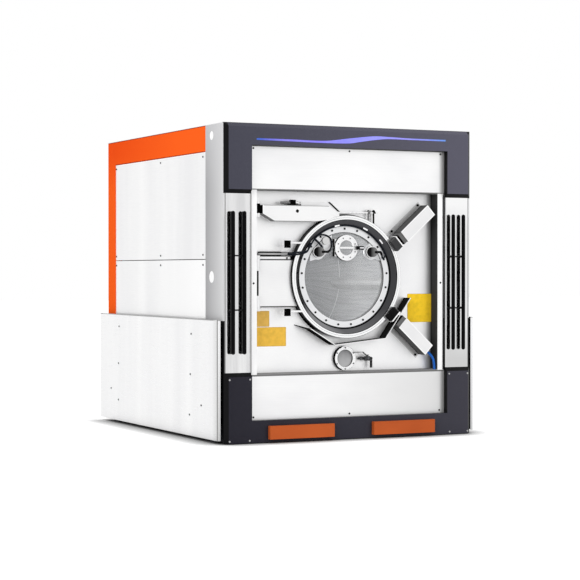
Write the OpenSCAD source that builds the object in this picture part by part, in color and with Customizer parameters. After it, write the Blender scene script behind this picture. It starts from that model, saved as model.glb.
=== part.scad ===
/* [Cabinet] */
// Width of the cabinet over its side frames
body_w = 2140; // [2120:1:2200]
// Height of the cabinet above the floor
body_h = 2400; // [2380:1:2460]
// Depth from the face of the front columns to the rear
body_d = 2452; // [2440:1:2520]
// Height of the anchor plates that the base stands on
foot_t = 20; // [16:1:26]
// Height of the welded base rails
rail_h = 120; // [100:1:130]
// Width of the welded base rails
rail_w = 120; // [100:1:130]
// Wall of the welded base rails
rail_wall = 6; // [4:1:8]
// Depth of the front pillars
pillar_d = 335; // [320:1:360]
// Thickness of the cladding sheets
sheet_t = 3; // [2:0.5:4]
// Height of the coloured band along the top of each side
band_h = 203; // [180:1:220]
// Width of the coloured band down the rear of each side
rear_band_w = 177; // [150:1:190]
// Height of the seam between the two panels of each side
seam_z = 1381; // [1340:1:1430]
// Width of the open joint between the two panels of each side
panel_joint = 6; // [2:1:8]

/* [Front] */
// How far the bezels stand in front of the columns
bezel_proud = 30; // [20:1:40]
// Inner half width between the legs of the bezels
bezel_inner = 849; // [840:1:856]
// Length of the upper bezel's legs from the roof down
upper_leg_l = 528; // [515:1:540]
// Width of the upper bezel's band
upper_band_w = 164; // [150:1:180]
// Height of the upper end of the lower bezel's legs
lower_leg_z = 532; // [528:1:545]
// Height of the lower bezel's inner edge
lower_inner_z = 172; // [160:1:185]
// How far the flat front panels lie behind the columns
panel_set = 20; // [16:1:24]
// Half width of the recess round the door
recess_half = 787; // [784:1:790]
// Height of the lower end of the recess
recess_bottom = 515; // [508:1:518]
// Height of the upper end of the recess
recess_top = 1900; // [1894:1:1902]
// How far the recessed front plate lies behind the columns
plate_y = 112; // [108:1:120]
// Thickness of the recessed front plate
plate_t = 6; // [5:1:8]
// Diameter of the upright tubes on the columns
bar_d = 30; // [26:1:34]
// Distance of the tubes' centre line in front of the columns
bar_out = 37; // [32:1:42]
// Height of the tubes' lower end
bar_z0 = 670; // [640:1:700]
// Length of the tubes
bar_l = 1070; // [1000:1:1100]
// Thickness of the coloured plinth blocks
block_t = 40; // [30:1:46]

/* [Guards] */
// Distance of the side guards from the cabinet's side
guard_gap = 45; // [38:1:55]
// Height of the guards' upper edge
guard_top = 928; // [900:1:960]
// Height of the guards' lower edge
guard_bottom = 27; // [22:1:40]
// Place of the guards' front edge behind the columns
guard_front = 12; // [8:1:20]
// Place of the guards' rear edge behind the columns
guard_rear = 2540; // [2530:1:2600]
// Width of the folded lips of the guards
guard_lip = 26; // [18:1:30]

/* [Door] */
// Height of the door's centre
door_z = 1248; // [1240:1:1256]
// Outer radius of the door's rim
rim_r = 475; // [470:1:480]
// Width of the rim's flat front face
rim_face = 32; // [28:1:36]
// Place of the rim's front face behind the columns
rim_y = 53; // [50:1:56]
// Outer radius of the bolted window flange
flange_r = 392; // [390:1:395]
// Radius of the clear window
window_r = 345; // [335:1:348]
// Thickness of the window flange
flange_t = 10; // [8:1:11]
// Thickness of the window glass
glass_t = 12; // [10:1:14]
// Radius of the circle of window screws
screw_circle_r = 372; // [368:1:376]
// Number of window screws
screw_count = 21; // [16:1:24]
// Place of the hinge axis left of the centre
hinge_x = 768; // [766:1:769]
// Place of the hinge axis behind the columns
hinge_y = 40; // [39:1:42]
// Diameter of the hinge pins
hinge_pin_d = 20; // [16:1:22]
// Radial clearance of the hinge knuckles on their pins
pin_clear = 0.05; // [0.02:0.01:0.08]
// Gap between parts that move past each other
gap = 0.3; // [0.25:0.05:0.5]

/* [Hatch] */
// Place of the sampling hatch right of the door's centre
hatch_x = 8; // [4:1:12]
// Height of the hatch above the door's centre
hatch_up = 224; // [222:1:226]
// Outer radius of the hatch
hatch_r = 99; // [94:1:100]
// Clear radius of the hatch
hatch_bore_r = 58; // [50:1:60]
// Thickness of the hatch lid's ring
lid_t = 14; // [12:1:15]
// Radius of the two lamps
lamp_r = 38; // [34:1:40]
// Distance of the lamps from the door's upright centre line
lamp_x = 232; // [228:1:236]
// Height of the lamps above the door's centre
lamp_up = 192; // [190:1:194]

/* [Drum] */
// Room between the drum and the outer tub
drum_room = 65; // [50:1:90]
// Place of the drum's front end
drum_front = 200; // [195:1:210]
// Place of the drum's back wall
drum_back = 1500; // [1450:1:1520]
// Thickness of the drum's shell
drum_wall = 5; // [4:1:8]
// Radius of the drum's mouth
mouth_r = 405; // [400:1:410]
// Number of lifters in the drum
lifter_count = 4; // [3:1:4]
// Inner radius of the outer tub
tub_r = 770; // [760:1:775]
// Wall of the outer tub
tub_wall = 8; // [6:1:10]
// Radius of the drum shaft
shaft_r = 70; // [60:1:78]
// Radius of the drum's belt pulley
drum_pulley_r = 420; // [380:1:440]
// Radius of the motor's belt pulley
motor_pulley_r = 95; // [80:1:110]

/* [Clamps] */
// Length of the clamp housings
clamp_l = 322; // [300:1:330]
// Width of the clamp housings
clamp_w = 100; // [96:1:104]
// Travel that the clamps need to free the rim
clamp_travel = 40; // [36:1:42]
// Diameter of the clamp rods
rod_d = 28; // [24:1:30]
// Length of the clamp shoes along the rod
shoe_l = 56; // [50:1:58]
// Angle of the upper clamp above the horizontal
upper_angle = 41.5; // [41:0.5:42]
// Angle of the lower clamp below the horizontal
lower_angle = 42.5; // [42:0.5:43]

/* [Hidden] */

$fn = 96;

// Joints between flat sheets leave this much daylight
seam = 0.4;
// The front of the plinth blocks and the middle of the depth
front_y = -bezel_proud - block_t;
mid_y = (front_y + guard_rear) / 2;
half_w = body_w / 2;
skin_x = half_w - sheet_t;
base_z = foot_t + rail_h;
band_z = body_h - band_h;
rear_y = body_d;
side_end_y = rear_y - rear_band_w;
upper_leg_z = body_h - upper_leg_l;
upper_inner_z = body_h - upper_band_w;
drum_r = tub_r - drum_room - drum_wall;
bezel_y = -bezel_proud;
panel_y = panel_set;
rail_out = half_w - 4;
rail_in = rail_out - rail_w;
rail_y0 = panel_y + sheet_t + 20;
rail_y1 = rear_y - 12;
pillar_in = bezel_inner + sheet_t;
pillar_wall = 4;
frame_depth = 62;
frame_wall = 5;
guard_x = half_w + guard_gap;
cap_y = 221;
cap_spots = [[body_h - 87, 34], [door_z, 45]];

// Puts a piece drawn from the columns' face into the part's own frame
module seat() {
    translate([0, -mid_y, 0]) children();
}

// Extrudes a front view, x across and z up, from depth y over a thickness t
module face(y, t) {
    translate([0, y + t, 0]) rotate([90, 0, 0]) linear_extrude(t) children();
}

// Turns what is drawn along z so that it runs back along the door's axis
module on_axis(x = 0, z = door_z) {
    translate([x, 0, z]) rotate([-90, 0, 0]) children();
}

// A round bar or hole that runs back from depth y0 to y1
module rod_y(x, z, y0, y1, r) {
    on_axis(x, z) translate([0, 0, y0]) cylinder(r = r, h = y1 - y0);
}

// A box given by its lowest and highest corners
module span(lo, hi) {
    translate(lo) cube(hi - lo);
}

// The same piece on the left and on the right
module both() {
    children();
    mirror([1, 0, 0]) children();
}

// A rectangle between two corners with four round corners
module round_rect(lo, hi, r) {
    translate([lo[0] + r, lo[1]]) square([hi[0] - lo[0] - 2 * r, hi[1] - lo[1]]);
    translate([lo[0], lo[1] + r]) square([hi[0] - lo[0], hi[1] - lo[1] - 2 * r]);
    for (x = [lo[0] + r, hi[0] - r], y = [lo[1] + r, hi[1] - r])
        translate([x, y]) circle(r);
}

// A rectangular steel tube with open ends, along x or along y
module tube_x(lo, hi, wall) {
    difference() {
        span(lo, hi);
        span(lo + [-1, wall, wall], hi + [1, -wall, -wall]);
    }
}

module tube_y(lo, hi, wall) {
    difference() {
        span(lo, hi);
        span(lo + [wall, -1, wall], hi + [-wall, 1, -wall]);
    }
}

function lerp(a, b, t) = a + (b - a) * t;
function unit(v) = v / norm(v);

// A point on a smooth curve through four neighbours
function blend_point(a, b, c, d, t) = 0.5 * (2 * b + (c - a) * t
    + (2 * a - 5 * b + 4 * c - d) * t * t + (3 * b - 3 * c + d - a) * t * t * t);

function clip_index(i, n) = max(0, min(n - 1, i));

function smooth_path(p, steps) = [for (i = [0 : len(p) - 2], k = [0 : steps - 1])
    blend_point(p[clip_index(i - 1, len(p))], p[i], p[i + 1], p[clip_index(i + 2, len(p))],
        k / steps), p[len(p) - 1]];

function ring_at(p, dir, r, sides) = let (side = unit(cross(dir, [0, 1, 0])), over = cross(side, dir))
    [for (k = [0 : sides - 1]) p + r * (cos(k * 360 / sides) * side + sin(k * 360 / sides) * over)];

// A cable swept along a path of points
module cable(points, r, sides = 8, steps = 3) {
    path = smooth_path(points, steps);
    n = len(path);
    last = len(points) - 1;
    aims = [for (i = [0 : n - 1]) i == 0 ? points[1] - points[0]
        : i == n - 1 ? points[last] - points[last - 1] : path[i + 1] - path[i - 1]];
    rings = [for (i = [0 : n - 1]) ring_at(path[i], unit(aims[i]), r, sides)];
    verts = [for (ring = rings) for (v = ring) v];
    walls = [for (i = [0 : n - 2], k = [0 : sides - 1]) let (q = (k + 1) % sides)
        for (tri = [[i * sides + k, i * sides + q, (i + 1) * sides + q],
            [i * sides + k, (i + 1) * sides + q, (i + 1) * sides + k]]) tri];
    ends = [[for (k = [sides - 1 : -1 : 0]) k], [for (k = [0 : sides - 1]) (n - 1) * sides + k]];
    polyhedron(verts, concat(walls, ends), convexity = 6);
}

// Welded base of box-section steel
cross_rails_y = [rail_y0, 1180, rail_y1 - rail_w];

module base_frame() color([0.30, 0.31, 0.33]) seat() {
    both() tube_y([rail_in, rail_y0, foot_t], [rail_out, rail_y1, base_z], rail_wall);
    for (y = cross_rails_y)
        tube_x([-rail_in, y, foot_t], [rail_in, y + rail_w, base_z], rail_wall);
}

// Steel plates under the four corners, each drilled for a floor anchor
anchor_hole_r = 11;
anchor_x = rail_in - 60;
anchor_y = [rail_y0 + rail_w + 60, rail_y1 - rail_w - 60];

module anchor_plates() color([0.30, 0.31, 0.33]) seat() both() for (y = anchor_y) difference() {
    span([anchor_x - 60, y - 60, 0], [rail_out, y + 60, foot_t]);
    translate([anchor_x, y, -1]) cylinder(r = anchor_hole_r, h = foot_t + 2);
}

// Folded steel pillars with round lifting holes in their outer sides
module front_pillars() color([0.74, 0.75, 0.77]) seat() both() difference() {
    span([pillar_in, sheet_t, base_z], [half_w, pillar_d, body_h - sheet_t]);
    span([pillar_in + pillar_wall, sheet_t + pillar_wall, base_z - 1],
        [half_w - pillar_wall, pillar_d - pillar_wall, body_h]);
    for (c = cap_spots) translate([half_w - 2 * pillar_wall, cap_y, c[0]])
        rotate([0, 90, 0]) cylinder(r = c[1], h = 4 * pillar_wall);
}

// White plugs that close the lifting holes
module pillar_caps() color([0.94, 0.94, 0.94]) seat() both() for (c = cap_spots)
    translate([half_w - pillar_wall - 6, cap_y, c[0]]) rotate([0, 90, 0]) {
        translate([0, 0, 6]) cylinder(r = c[1] - gap, h = pillar_wall - 1);
        cylinder(r = c[1] + 5, h = 6);
    }

// Painted frame: a band along the top of each side, one down its rear, and a rear beam
module painted_frame() color([0.98, 0.37, 0.10]) seat() {
    both() difference() {
        union() {
            span([half_w - frame_depth, pillar_d, band_z], [half_w, rear_y, body_h - sheet_t]);
            span([half_w - frame_depth, side_end_y, base_z], [half_w, rear_y, band_z + 1]);
        }
        span([half_w - frame_depth - 1, pillar_d + frame_wall, band_z + frame_wall],
            [half_w - frame_wall, rear_y - frame_wall, body_h - sheet_t - frame_wall]);
        span([half_w - frame_depth - 1, side_end_y + frame_wall, base_z + frame_wall],
            [half_w - frame_wall, rear_y - frame_wall, band_z + frame_wall + 1]);
    }
    tube_x([-half_w + frame_depth, rear_y - frame_depth, band_z],
        [half_w - frame_depth, rear_y - sheet_t, body_h - sheet_t], frame_wall);
}

// Stainless panels of the two sides, each with a folded edge
side_screw_y = [pillar_d + 55, lerp(pillar_d, side_end_y, 0.472), side_end_y - 17];
side_screw_z = [band_z - 34, seam_z + 35, seam_z - 42];

module folded_panel(z0, z1) difference() {
    span([skin_x - 20, pillar_d + seam, z0], [skin_x, side_end_y - seam, z1]);
    span([skin_x - 21, pillar_d + seam + sheet_t, z0 + sheet_t],
        [skin_x - sheet_t, side_end_y - seam - sheet_t, z1 - sheet_t]);
}

module side_panels() color([0.90, 0.91, 0.92]) seat() both() {
    folded_panel(base_z + seam, seam_z - panel_joint / 2);
    folded_panel(seam_z + panel_joint / 2, band_z - seam);
}

// Flat roof sheet
module roof_panel() color([0.80, 0.81, 0.82]) seat()
    span([-half_w, panel_y, body_h - sheet_t], [half_w, rear_y, body_h]);

// Two sheets that close the rear, with holes for the water pipes
rear_half = half_w - frame_depth;
pipe_spots = [[-620, 1500, 38], [-420, 1500, 38], [620, 320, 80]];

module rear_panels() color([0.82, 0.83, 0.84]) seat() difference() {
    union() {
        span([-rear_half + seam, rear_y - sheet_t, base_z], [rear_half - seam, rear_y, seam_z - seam]);
        span([-rear_half + seam, rear_y - sheet_t, seam_z + seam],
            [rear_half - seam, rear_y, body_h - sheet_t]);
    }
    for (p = pipe_spots) rod_y(p[0], p[1], rear_y - 10, rear_y + 10, p[2] + gap);
}

// Two water inlets and the drain outlet, each a flanged tube through the rear
pipe_wall = 6;
pipe_out = 70;

module pipe_stubs() color([0.72, 0.73, 0.75]) seat() for (p = pipe_spots) difference() {
    union() {
        rod_y(p[0], p[1], rear_y - 60, rear_y + pipe_out, p[2]);
        rod_y(p[0], p[1], rear_y, rear_y + 8, p[2] + 22);
    }
    rod_y(p[0], p[1], rear_y - 61, rear_y + pipe_out + 1, p[2] - pipe_wall);
}

// Folded stainless guards that stand off the lower sides
guard_round = 12;

module side_guards() color([0.92, 0.93, 0.94]) seat() both()
    translate([0, 0, guard_bottom]) linear_extrude(guard_top - guard_bottom) difference() {
        round_rect([guard_x - 60, guard_front], [guard_x, guard_rear], guard_round);
        round_rect([guard_x - 80, guard_front + sheet_t], [guard_x - sheet_t, guard_rear - sheet_t],
            guard_round - sheet_t);
        translate([guard_x - 90, guard_front - 1]) square([90 - guard_lip, guard_rear - guard_front + 2]);
    }

// Places of the guards' screws, from the columns back and up
guard_screws = [[2072, 824], [509, 811], [2086, 512], [526, 500], [2265, 291], [2090, 203], [315, 274],
    [542, 188]];

// The outline shared by both bezels, seen from above: chamfered outer corners
module bezel_plan() polygon([[-half_w, panel_y], [-half_w, 0], [-half_w + bezel_proud, bezel_y],
    [half_w - bezel_proud, bezel_y], [half_w, 0], [half_w, panel_y]]);

// Side view of a bezel between two heights, chamfered where it ends
module bezel_side(z0, z1, cut0, cut1) polygon([[panel_y, z0], [0, z0], [bezel_y, z0 + cut0],
    [bezel_y, z1 - cut1], [0, z1], [panel_y, z1]]);

// Crosses the plan and the side view of a bezel
module bezel_block(z0, z1, cut0, cut1) intersection() {
    translate([0, 0, z0 - 1]) linear_extrude(z1 - z0 + 2) bezel_plan();
    translate([-half_w - 1, 0, 0]) rotate([90, 0, 90]) linear_extrude(body_w + 2)
        bezel_side(z0, z1, cut0, cut1);
}

bezel_wall = 4;

// Upper bezel: a top band and two legs, open behind
module upper_bezel() color([0.33, 0.33, 0.38]) seat() difference() {
    bezel_block(upper_leg_z, body_h, bezel_proud, bezel_proud);
    span([-bezel_inner, bezel_y - 1, 0], [bezel_inner, panel_y + 1, upper_inner_z]);
    span([-half_w + 34, bezel_y + bezel_wall, upper_inner_z + bezel_wall],
        [half_w - 34, panel_y + 1, body_h - 34]);
    both() span([bezel_inner + bezel_wall, bezel_y + bezel_wall, upper_leg_z + 34],
        [half_w - 34, panel_y + 1, body_h - 34]);
    both() span([pillar_in, sheet_t, upper_leg_z - 1], [half_w + 1, panel_y + 1, body_h - sheet_t]);
    span([-half_w - 1, panel_y, body_h - sheet_t], [half_w + 1, panel_y + 2, body_h + 1]);
}

// Lower bezel: a bottom band and two legs, open behind
lower_bezel_z = 6;

module lower_bezel() color([0.20, 0.19, 0.24]) seat() difference() {
    bezel_block(lower_bezel_z, lower_leg_z, 0, bezel_proud);
    span([-bezel_inner, bezel_y - 1, lower_inner_z], [bezel_inner, panel_y + 1, lower_leg_z + 1]);
    span([-half_w + 34, bezel_y + bezel_wall, lower_bezel_z + bezel_wall],
        [half_w - 34, panel_y + 1, lower_inner_z - bezel_wall]);
    both() span([bezel_inner + bezel_wall, bezel_y + bezel_wall, lower_bezel_z + bezel_wall],
        [half_w - 34, panel_y + 1, lower_leg_z - 34]);
    both() span([pillar_in, sheet_t, base_z - 1], [half_w + 1, panel_y + 1, lower_leg_z + 1]);
}

// Coloured blocks on the lower bezel, with a chamfered front edge
block_spots = [170, 716];
block_z = [30, 130];

module plinth_blocks() color([0.82, 0.37, 0.17]) seat() both() difference() {
    span([block_spots[0], front_y, block_z[0]], [block_spots[1], bezel_y, block_z[1]]);
    translate([block_spots[0], front_y, block_z[0] - 1]) rotate([0, 0, 45])
        translate([-4, -4, 0]) cube([8, 8, body_h]);
    translate([block_spots[1], front_y, block_z[0] - 1]) rotate([0, 0, 45])
        translate([-4, -4, 0]) cube([8, 8, body_h]);
}

// Polished sheets on the pillars, with a round outer edge
column_out = half_w - 8;
column_round = 10;

module column_panels() color([0.86, 0.87, 0.88]) seat() both()
    translate([0, 0, lower_leg_z]) linear_extrude(upper_leg_z - lower_leg_z) {
        difference() {
            round_rect([bezel_inner, 0], [column_out, 40], column_round);
            translate([bezel_inner - 1, sheet_t]) square([body_w, 60]);
        }
        translate([bezel_inner, 0]) square([sheet_t, panel_y]);
    }

// Two upright tubes with round ends on each column
bar_pairs = [[-1008, -915], [898, 991]];

module column_bars() color([0.06, 0.06, 0.07]) seat() for (pair = bar_pairs, x = pair)
    translate([x, -bar_out, bar_z0]) {
        translate([0, 0, bar_d / 2]) cylinder(d = bar_d, h = bar_l - bar_d);
        translate([0, 0, bar_d / 2]) sphere(d = bar_d);
        translate([0, 0, bar_l - bar_d / 2]) sphere(d = bar_d);
    }

// Thin straps and stand-offs that hold the tubes
strap_z = [1001, 1407];

module bar_brackets() color([0.16, 0.16, 0.17]) seat() for (z = strap_z, pair = bar_pairs) {
    difference() {
        span([pair[0] - 12, -bar_out + 3, z - 5], [pair[1] + 12, -bar_out + 13, z + 5]);
        for (x = pair) translate([x, -bar_out, z - 10]) cylinder(d = bar_d + 2 * gap, h = 20);
    }
    for (x = pair) difference() {
        translate([x, 0, z]) rotate([90, 0, 0]) cylinder(r = 9, h = bar_out);
        translate([x, -bar_out, z - 20]) cylinder(d = bar_d + 2 * gap, h = 40);
    }
}

// Flat stainless panels above and below the door's recess
module front_panels() color([0.90, 0.91, 0.92]) seat() {
    span([-bezel_inner + seam, panel_y, recess_top + sheet_t],
        [bezel_inner - seam, panel_y + sheet_t, upper_inner_z + bezel_wall]);
    span([-bezel_inner + seam, panel_y, lower_inner_z - bezel_wall],
        [bezel_inner - seam, panel_y + sheet_t, recess_bottom - sheet_t]);
}

// Folded frame that lines the recess: side strips, side walls, floor and ceiling
strip_out = 841;

module recess_frame() color([0.70, 0.71, 0.73]) seat() {
    both() {
        span([recess_half, panel_y, recess_bottom - sheet_t],
            [strip_out, panel_y + sheet_t, recess_top + sheet_t]);
        span([recess_half, panel_y, recess_bottom - sheet_t],
            [recess_half + sheet_t, plate_y + plate_t, recess_top + sheet_t]);
    }
    for (z = [recess_bottom - sheet_t, recess_top]) difference() {
        span([-recess_half, panel_y + sheet_t, z], [recess_half, plate_y + plate_t, z + sheet_t]);
        translate([hose_end[0], hose_end[1], recess_bottom - 10]) cylinder(r = hose_r + 1, h = 20);
    }
}

// Recessed stainless front plate with the door opening
plate_hole_r = 430;
port_z = 617;
port_r = 94;
port_glass_r = 70;
tap_x = 128;
tap_z = 613;
tap_y = 71;

module front_plate() color([0.88, 0.89, 0.90]) seat() difference() {
    span([-recess_half, plate_y, recess_bottom], [recess_half, plate_y + plate_t, recess_top]);
    rod_y(0, door_z, plate_y - 1, plate_y + plate_t + 1, plate_hole_r);
    rod_y(0, port_z, plate_y - 1, plate_y + plate_t + 1, port_glass_r - 4);
    rod_y(tap_x, tap_z, plate_y - 1, plate_y + plate_t + 1, 10 + gap);
}

// Screw heads of the cabinet, panels and bezels, and the distance tubes behind the guards' screws
screw_r = 7;
guard_tube_r = 18;
screw_h = 3;
top_screws = [[-816, upper_inner_z - 22], [0, upper_inner_z - 22], [812, upper_inner_z - 22]];
low_screws = [[-816, lower_inner_z + 22], [0, lower_inner_z + 22], [804, lower_inner_z + 22]];
bezel_screws = [[1034, 482], [866, 482], [1034, 24], [870, 24]];

module head(x, y, z) rod_y(x, z, y - screw_h, y, screw_r);

module side_head(x, y, z) translate([x, y, z]) rotate([0, 90, 0]) cylinder(r = screw_r, h = screw_h);

module guard_tube(y, z) let (on_frame = y < pillar_d || y > side_end_y - guard_tube_r,
    wall_x = on_frame ? half_w : skin_x) translate([wall_x, y, z])
    rotate([0, 90, 0]) cylinder(r = guard_tube_r, h = guard_x - sheet_t - wall_x);

module cabinet_screws() color([0.25, 0.25, 0.27]) seat() {
    for (s = top_screws) head(s[0], panel_y, s[1]);
    for (s = low_screws) head(s[0], panel_y, s[1]);
    both() {
        head((recess_half + strip_out) / 2, panel_y, door_z - 48);
        for (s = bezel_screws) head(s[0], bezel_y, s[1]);
        for (y = side_screw_y, z = side_screw_z) side_head(skin_x, y, z);
        for (g = guard_screws) {
            side_head(guard_x, g[0], g[1]);
            guard_tube(g[0], g[1]);
        }
    }
}

// Front ring of the outer tub, with its neck to the front plate
tub_front = drum_front - 42;
tub_back = drum_back + 90;
neck_r = plate_hole_r;
tub_bore_r = shaft_r + 40;

module tub_ring() color([0.62, 0.63, 0.65]) seat() on_axis() rotate_extrude() polygon([
    [neck_r, plate_y + plate_t], [neck_r + tub_wall, plate_y + plate_t], [neck_r + tub_wall, tub_front],
    [tub_r + tub_wall, tub_front], [tub_r + tub_wall, tub_front + tub_wall], [neck_r, tub_front + tub_wall]]);

// Round shell and back wall of the outer tub
module outer_tub() color([0.62, 0.63, 0.65]) seat() on_axis() rotate_extrude() polygon([
    [tub_r, tub_front + tub_wall], [tub_r + tub_wall, tub_front + tub_wall], [tub_r + tub_wall, tub_back],
    [tub_bore_r, tub_back], [tub_bore_r, tub_back - tub_wall], [tub_r, tub_back - tub_wall]]);

// Two saddles that carry the tub on the base rails
cradle_y = [420, 1300];
cradle_t = 40;

module tub_cradle() color([0.30, 0.31, 0.33]) seat() for (y = cradle_y) difference() {
    union() {
        span([-rail_in + 20, y, base_z + 40], [rail_in - 20, y + cradle_t, door_z - 460]);
        both() span([rail_in - 30, y, base_z], [rail_in + 60, y + cradle_t, door_z - 460]);
    }
    rod_y(0, door_z, y - 1, y + cradle_t + 1, tub_r + tub_wall + gap);
}

// Cast bearing housing bolted to the back of the tub
housing_l = 360;
housing_end = tub_back + housing_l;
bearing_r = shaft_r + 38;
bearing_t = 50;

module bearing_housing() color([0.35, 0.36, 0.38]) seat() difference() {
    on_axis() rotate_extrude() polygon([[shaft_r + 12, tub_back], [300, tub_back], [300, tub_back + 30],
        [190, tub_back + 70], [160, housing_end - 60], [160, housing_end], [shaft_r + 12, housing_end]]);
    for (y = [tub_back + 30, housing_end - bearing_t])
        rod_y(0, door_z, y, y + bearing_t + 1, bearing_r);
}

// Two roller bearings in the housing
module bearings() color([0.65, 0.66, 0.68]) seat() for (y = [tub_back + 30, housing_end - bearing_t])
    difference() {
        rod_y(0, door_z, y, y + bearing_t, bearing_r - 0.02);
        rod_y(0, door_z, y - 1, y + bearing_t + 1, shaft_r + pin_clear);
    }

// Drum with a flat front ring, a round shell and a flat back
module drum() color([0.60, 0.61, 0.62]) seat() on_axis() rotate_extrude() polygon([
    [mouth_r, drum_front], [drum_r + drum_wall, drum_front], [drum_r + drum_wall, drum_back + 12],
    [shaft_r, drum_back + 12], [shaft_r, drum_back], [drum_r, drum_back], [drum_r, drum_front + 8],
    [mouth_r, drum_front + 8]]);

// Lifters: folded ribs along the inside of the drum
lifter_h = 90;
lifter_w = 110;
first_lifter = 5;

module lifters() color([0.70, 0.71, 0.72]) seat() on_axis() for (k = [0 : lifter_count - 1])
    rotate([0, 0, first_lifter + k * 360 / lifter_count]) intersection() {
        translate([0, 0, drum_front + 60]) linear_extrude(drum_back - drum_front - 60)
            polygon([[drum_r + 2, -lifter_w / 2], [drum_r - lifter_h, -16], [drum_r - lifter_h - 6, 0],
                [drum_r - lifter_h, 16], [drum_r + 2, lifter_w / 2]]);
        cylinder(r = drum_r - gap, h = rear_y);
    }

// Drum shaft, from the drum's back through both bearings to the pulley
shaft_end = housing_end + 160;

module drum_shaft() color([0.55, 0.56, 0.58]) seat() {
    rod_y(0, door_z, drum_back, shaft_end, shaft_r);
    rod_y(0, door_z, drum_back + 12, drum_back + 40, 200);
}

// Belt pulley on the drum shaft: rim, web with round holes and hub
pulley_w = 110;
pulley_y = shaft_end - pulley_w;
rim_t = 22;

module drum_pulley() color([0.32, 0.33, 0.35]) seat() difference() {
    on_axis() rotate_extrude() polygon([[shaft_r, pulley_y], [shaft_r + 50, pulley_y],
        [shaft_r + 50, pulley_y + 45], [drum_pulley_r - rim_t, pulley_y + 45],
        [drum_pulley_r - rim_t, pulley_y], [drum_pulley_r, pulley_y], [drum_pulley_r, pulley_y + pulley_w],
        [drum_pulley_r - rim_t, pulley_y + pulley_w], [drum_pulley_r - rim_t, pulley_y + 65],
        [shaft_r + 50, pulley_y + 65], [shaft_r + 50, pulley_y + pulley_w], [shaft_r, pulley_y + pulley_w]]);
    for (k = [0 : 5]) on_axis() rotate([0, 0, k * 60]) translate([(drum_pulley_r + shaft_r) / 2, 0, pulley_y])
        cylinder(r = 75, h = pulley_w);
}

// Drive motor low in the cabinet, with feet on the base rails
motor_x = -560;
motor_z = base_z + 210;
motor_r = 170;
motor_shaft_r = 24;
motor_l = 420;
motor_front = pulley_y - 40 - motor_l;

module motor() color([0.22, 0.24, 0.28]) seat() difference() {
    union() {
        rod_y(motor_x, motor_z, motor_front, pulley_y - 40, motor_r);
        for (k = [0 : 11]) on_axis(motor_x, motor_z) rotate([0, 0, k * 30])
            translate([0, -5, motor_front + 60]) cube([motor_r + 14, 10, motor_l - 140]);
        span([motor_x - 150, motor_front + 40, base_z], [motor_x + 150, pulley_y - 80, base_z + 60]);
        span([-rail_in - 40, motor_front + 60, base_z], [motor_x + 150, motor_front + 140, base_z + 20]);
    }
    rod_y(motor_x, motor_z, pulley_y - 160, pulley_y, motor_shaft_r + pin_clear);
}

// Motor shaft end with its grooved pulley
module motor_pulley() color([0.32, 0.33, 0.35]) seat() {
    rod_y(motor_x, motor_z, pulley_y - 150, pulley_y + 1, motor_shaft_r);
    on_axis(motor_x, motor_z) translate([0, 0, pulley_y]) cylinder(r = motor_pulley_r, h = pulley_w);
}

// Three belts round both pulleys
belt_t = 12;
belt_w = 20;
belt_dx = -motor_x;
belt_dz = motor_z - door_z;
belt_span = sqrt(belt_dx * belt_dx + belt_dz * belt_dz);
belt_angle = atan2(belt_dz, -belt_dx);
belt_lean = acos((drum_pulley_r - motor_pulley_r) / belt_span);

module belt_outline(extra) {
    circle(drum_pulley_r + extra);
    translate([belt_span, 0]) circle(motor_pulley_r + extra);
    polygon([for (q = [[0, 1, drum_pulley_r], [belt_span, 1, motor_pulley_r],
        [belt_span, -1, motor_pulley_r], [0, -1, drum_pulley_r]])
        [q[0] + (q[2] + extra) * cos(belt_lean), q[1] * (q[2] + extra) * sin(belt_lean)]]);
}

module drive_belts() color([0.08, 0.08, 0.08]) seat() for (k = [0 : 2])
    translate([0, pulley_y + 13 + k * 32 + belt_w, door_z]) rotate([90, 0, 0]) rotate([0, 0, belt_angle])
        linear_extrude(belt_w) difference() {
            belt_outline(belt_t);
            belt_outline(gap);
        }

// Hinge: fixed lugs on the recess wall, pins, and the heights of the arms' knuckles
knuckle_r = 16;
lug_h = 28;
arm_knuckles = [[1018, 60], [1322, 60], [1728, 58]];
pin_r = hinge_pin_d / 2;

module knuckle(z, h) translate([-hinge_x, hinge_y, z]) cylinder(r = knuckle_r, h = h);

module hinge_lugs() color([0.60, 0.61, 0.63]) seat() for (k = arm_knuckles,
        z = [k[0] - lug_h - gap, k[0] + k[1] + gap]) difference() {
    union() {
        knuckle(z, lug_h);
        span([-recess_half, hinge_y - 10, z], [-hinge_x, hinge_y + 10, z + lug_h]);
    }
    translate([-hinge_x, hinge_y, z - 1]) cylinder(r = pin_r + pin_clear, h = lug_h + 2);
}

module hinge_pins() color([0.50, 0.51, 0.53]) seat() for (k = arm_knuckles)
    translate([-hinge_x, hinge_y, k[0] - lug_h - gap]) cylinder(r = pin_r, h = k[1] + 2 * lug_h + 2 * gap);

// Dished stainless rim of the door, open behind
rim_back = 104;
flange_y = plate_y - 12;
seat_y = flange_y + flange_t;
dish_r = flange_r + 7.5;
rim_wall = 5;

module door_rim() color([0.86, 0.87, 0.88]) seat() on_axis() rotate_extrude($fn = 160) polygon([
    [rim_r, rim_back], [rim_r, rim_y + 3], [rim_r - 3, rim_y], [rim_r - rim_face, rim_y],
    [dish_r, flange_y - 3], [dish_r, seat_y], [dish_r + 4.5, seat_y], [dish_r + 4.5, flange_y - 1.5],
    [rim_r - rim_face + 2, rim_y + rim_wall], [rim_r - rim_wall, rim_y + rim_wall],
    [rim_r - rim_wall, rim_back - rim_wall], [rim_r - 25, rim_back - rim_wall], [rim_r - 25, rim_back]]);

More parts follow.
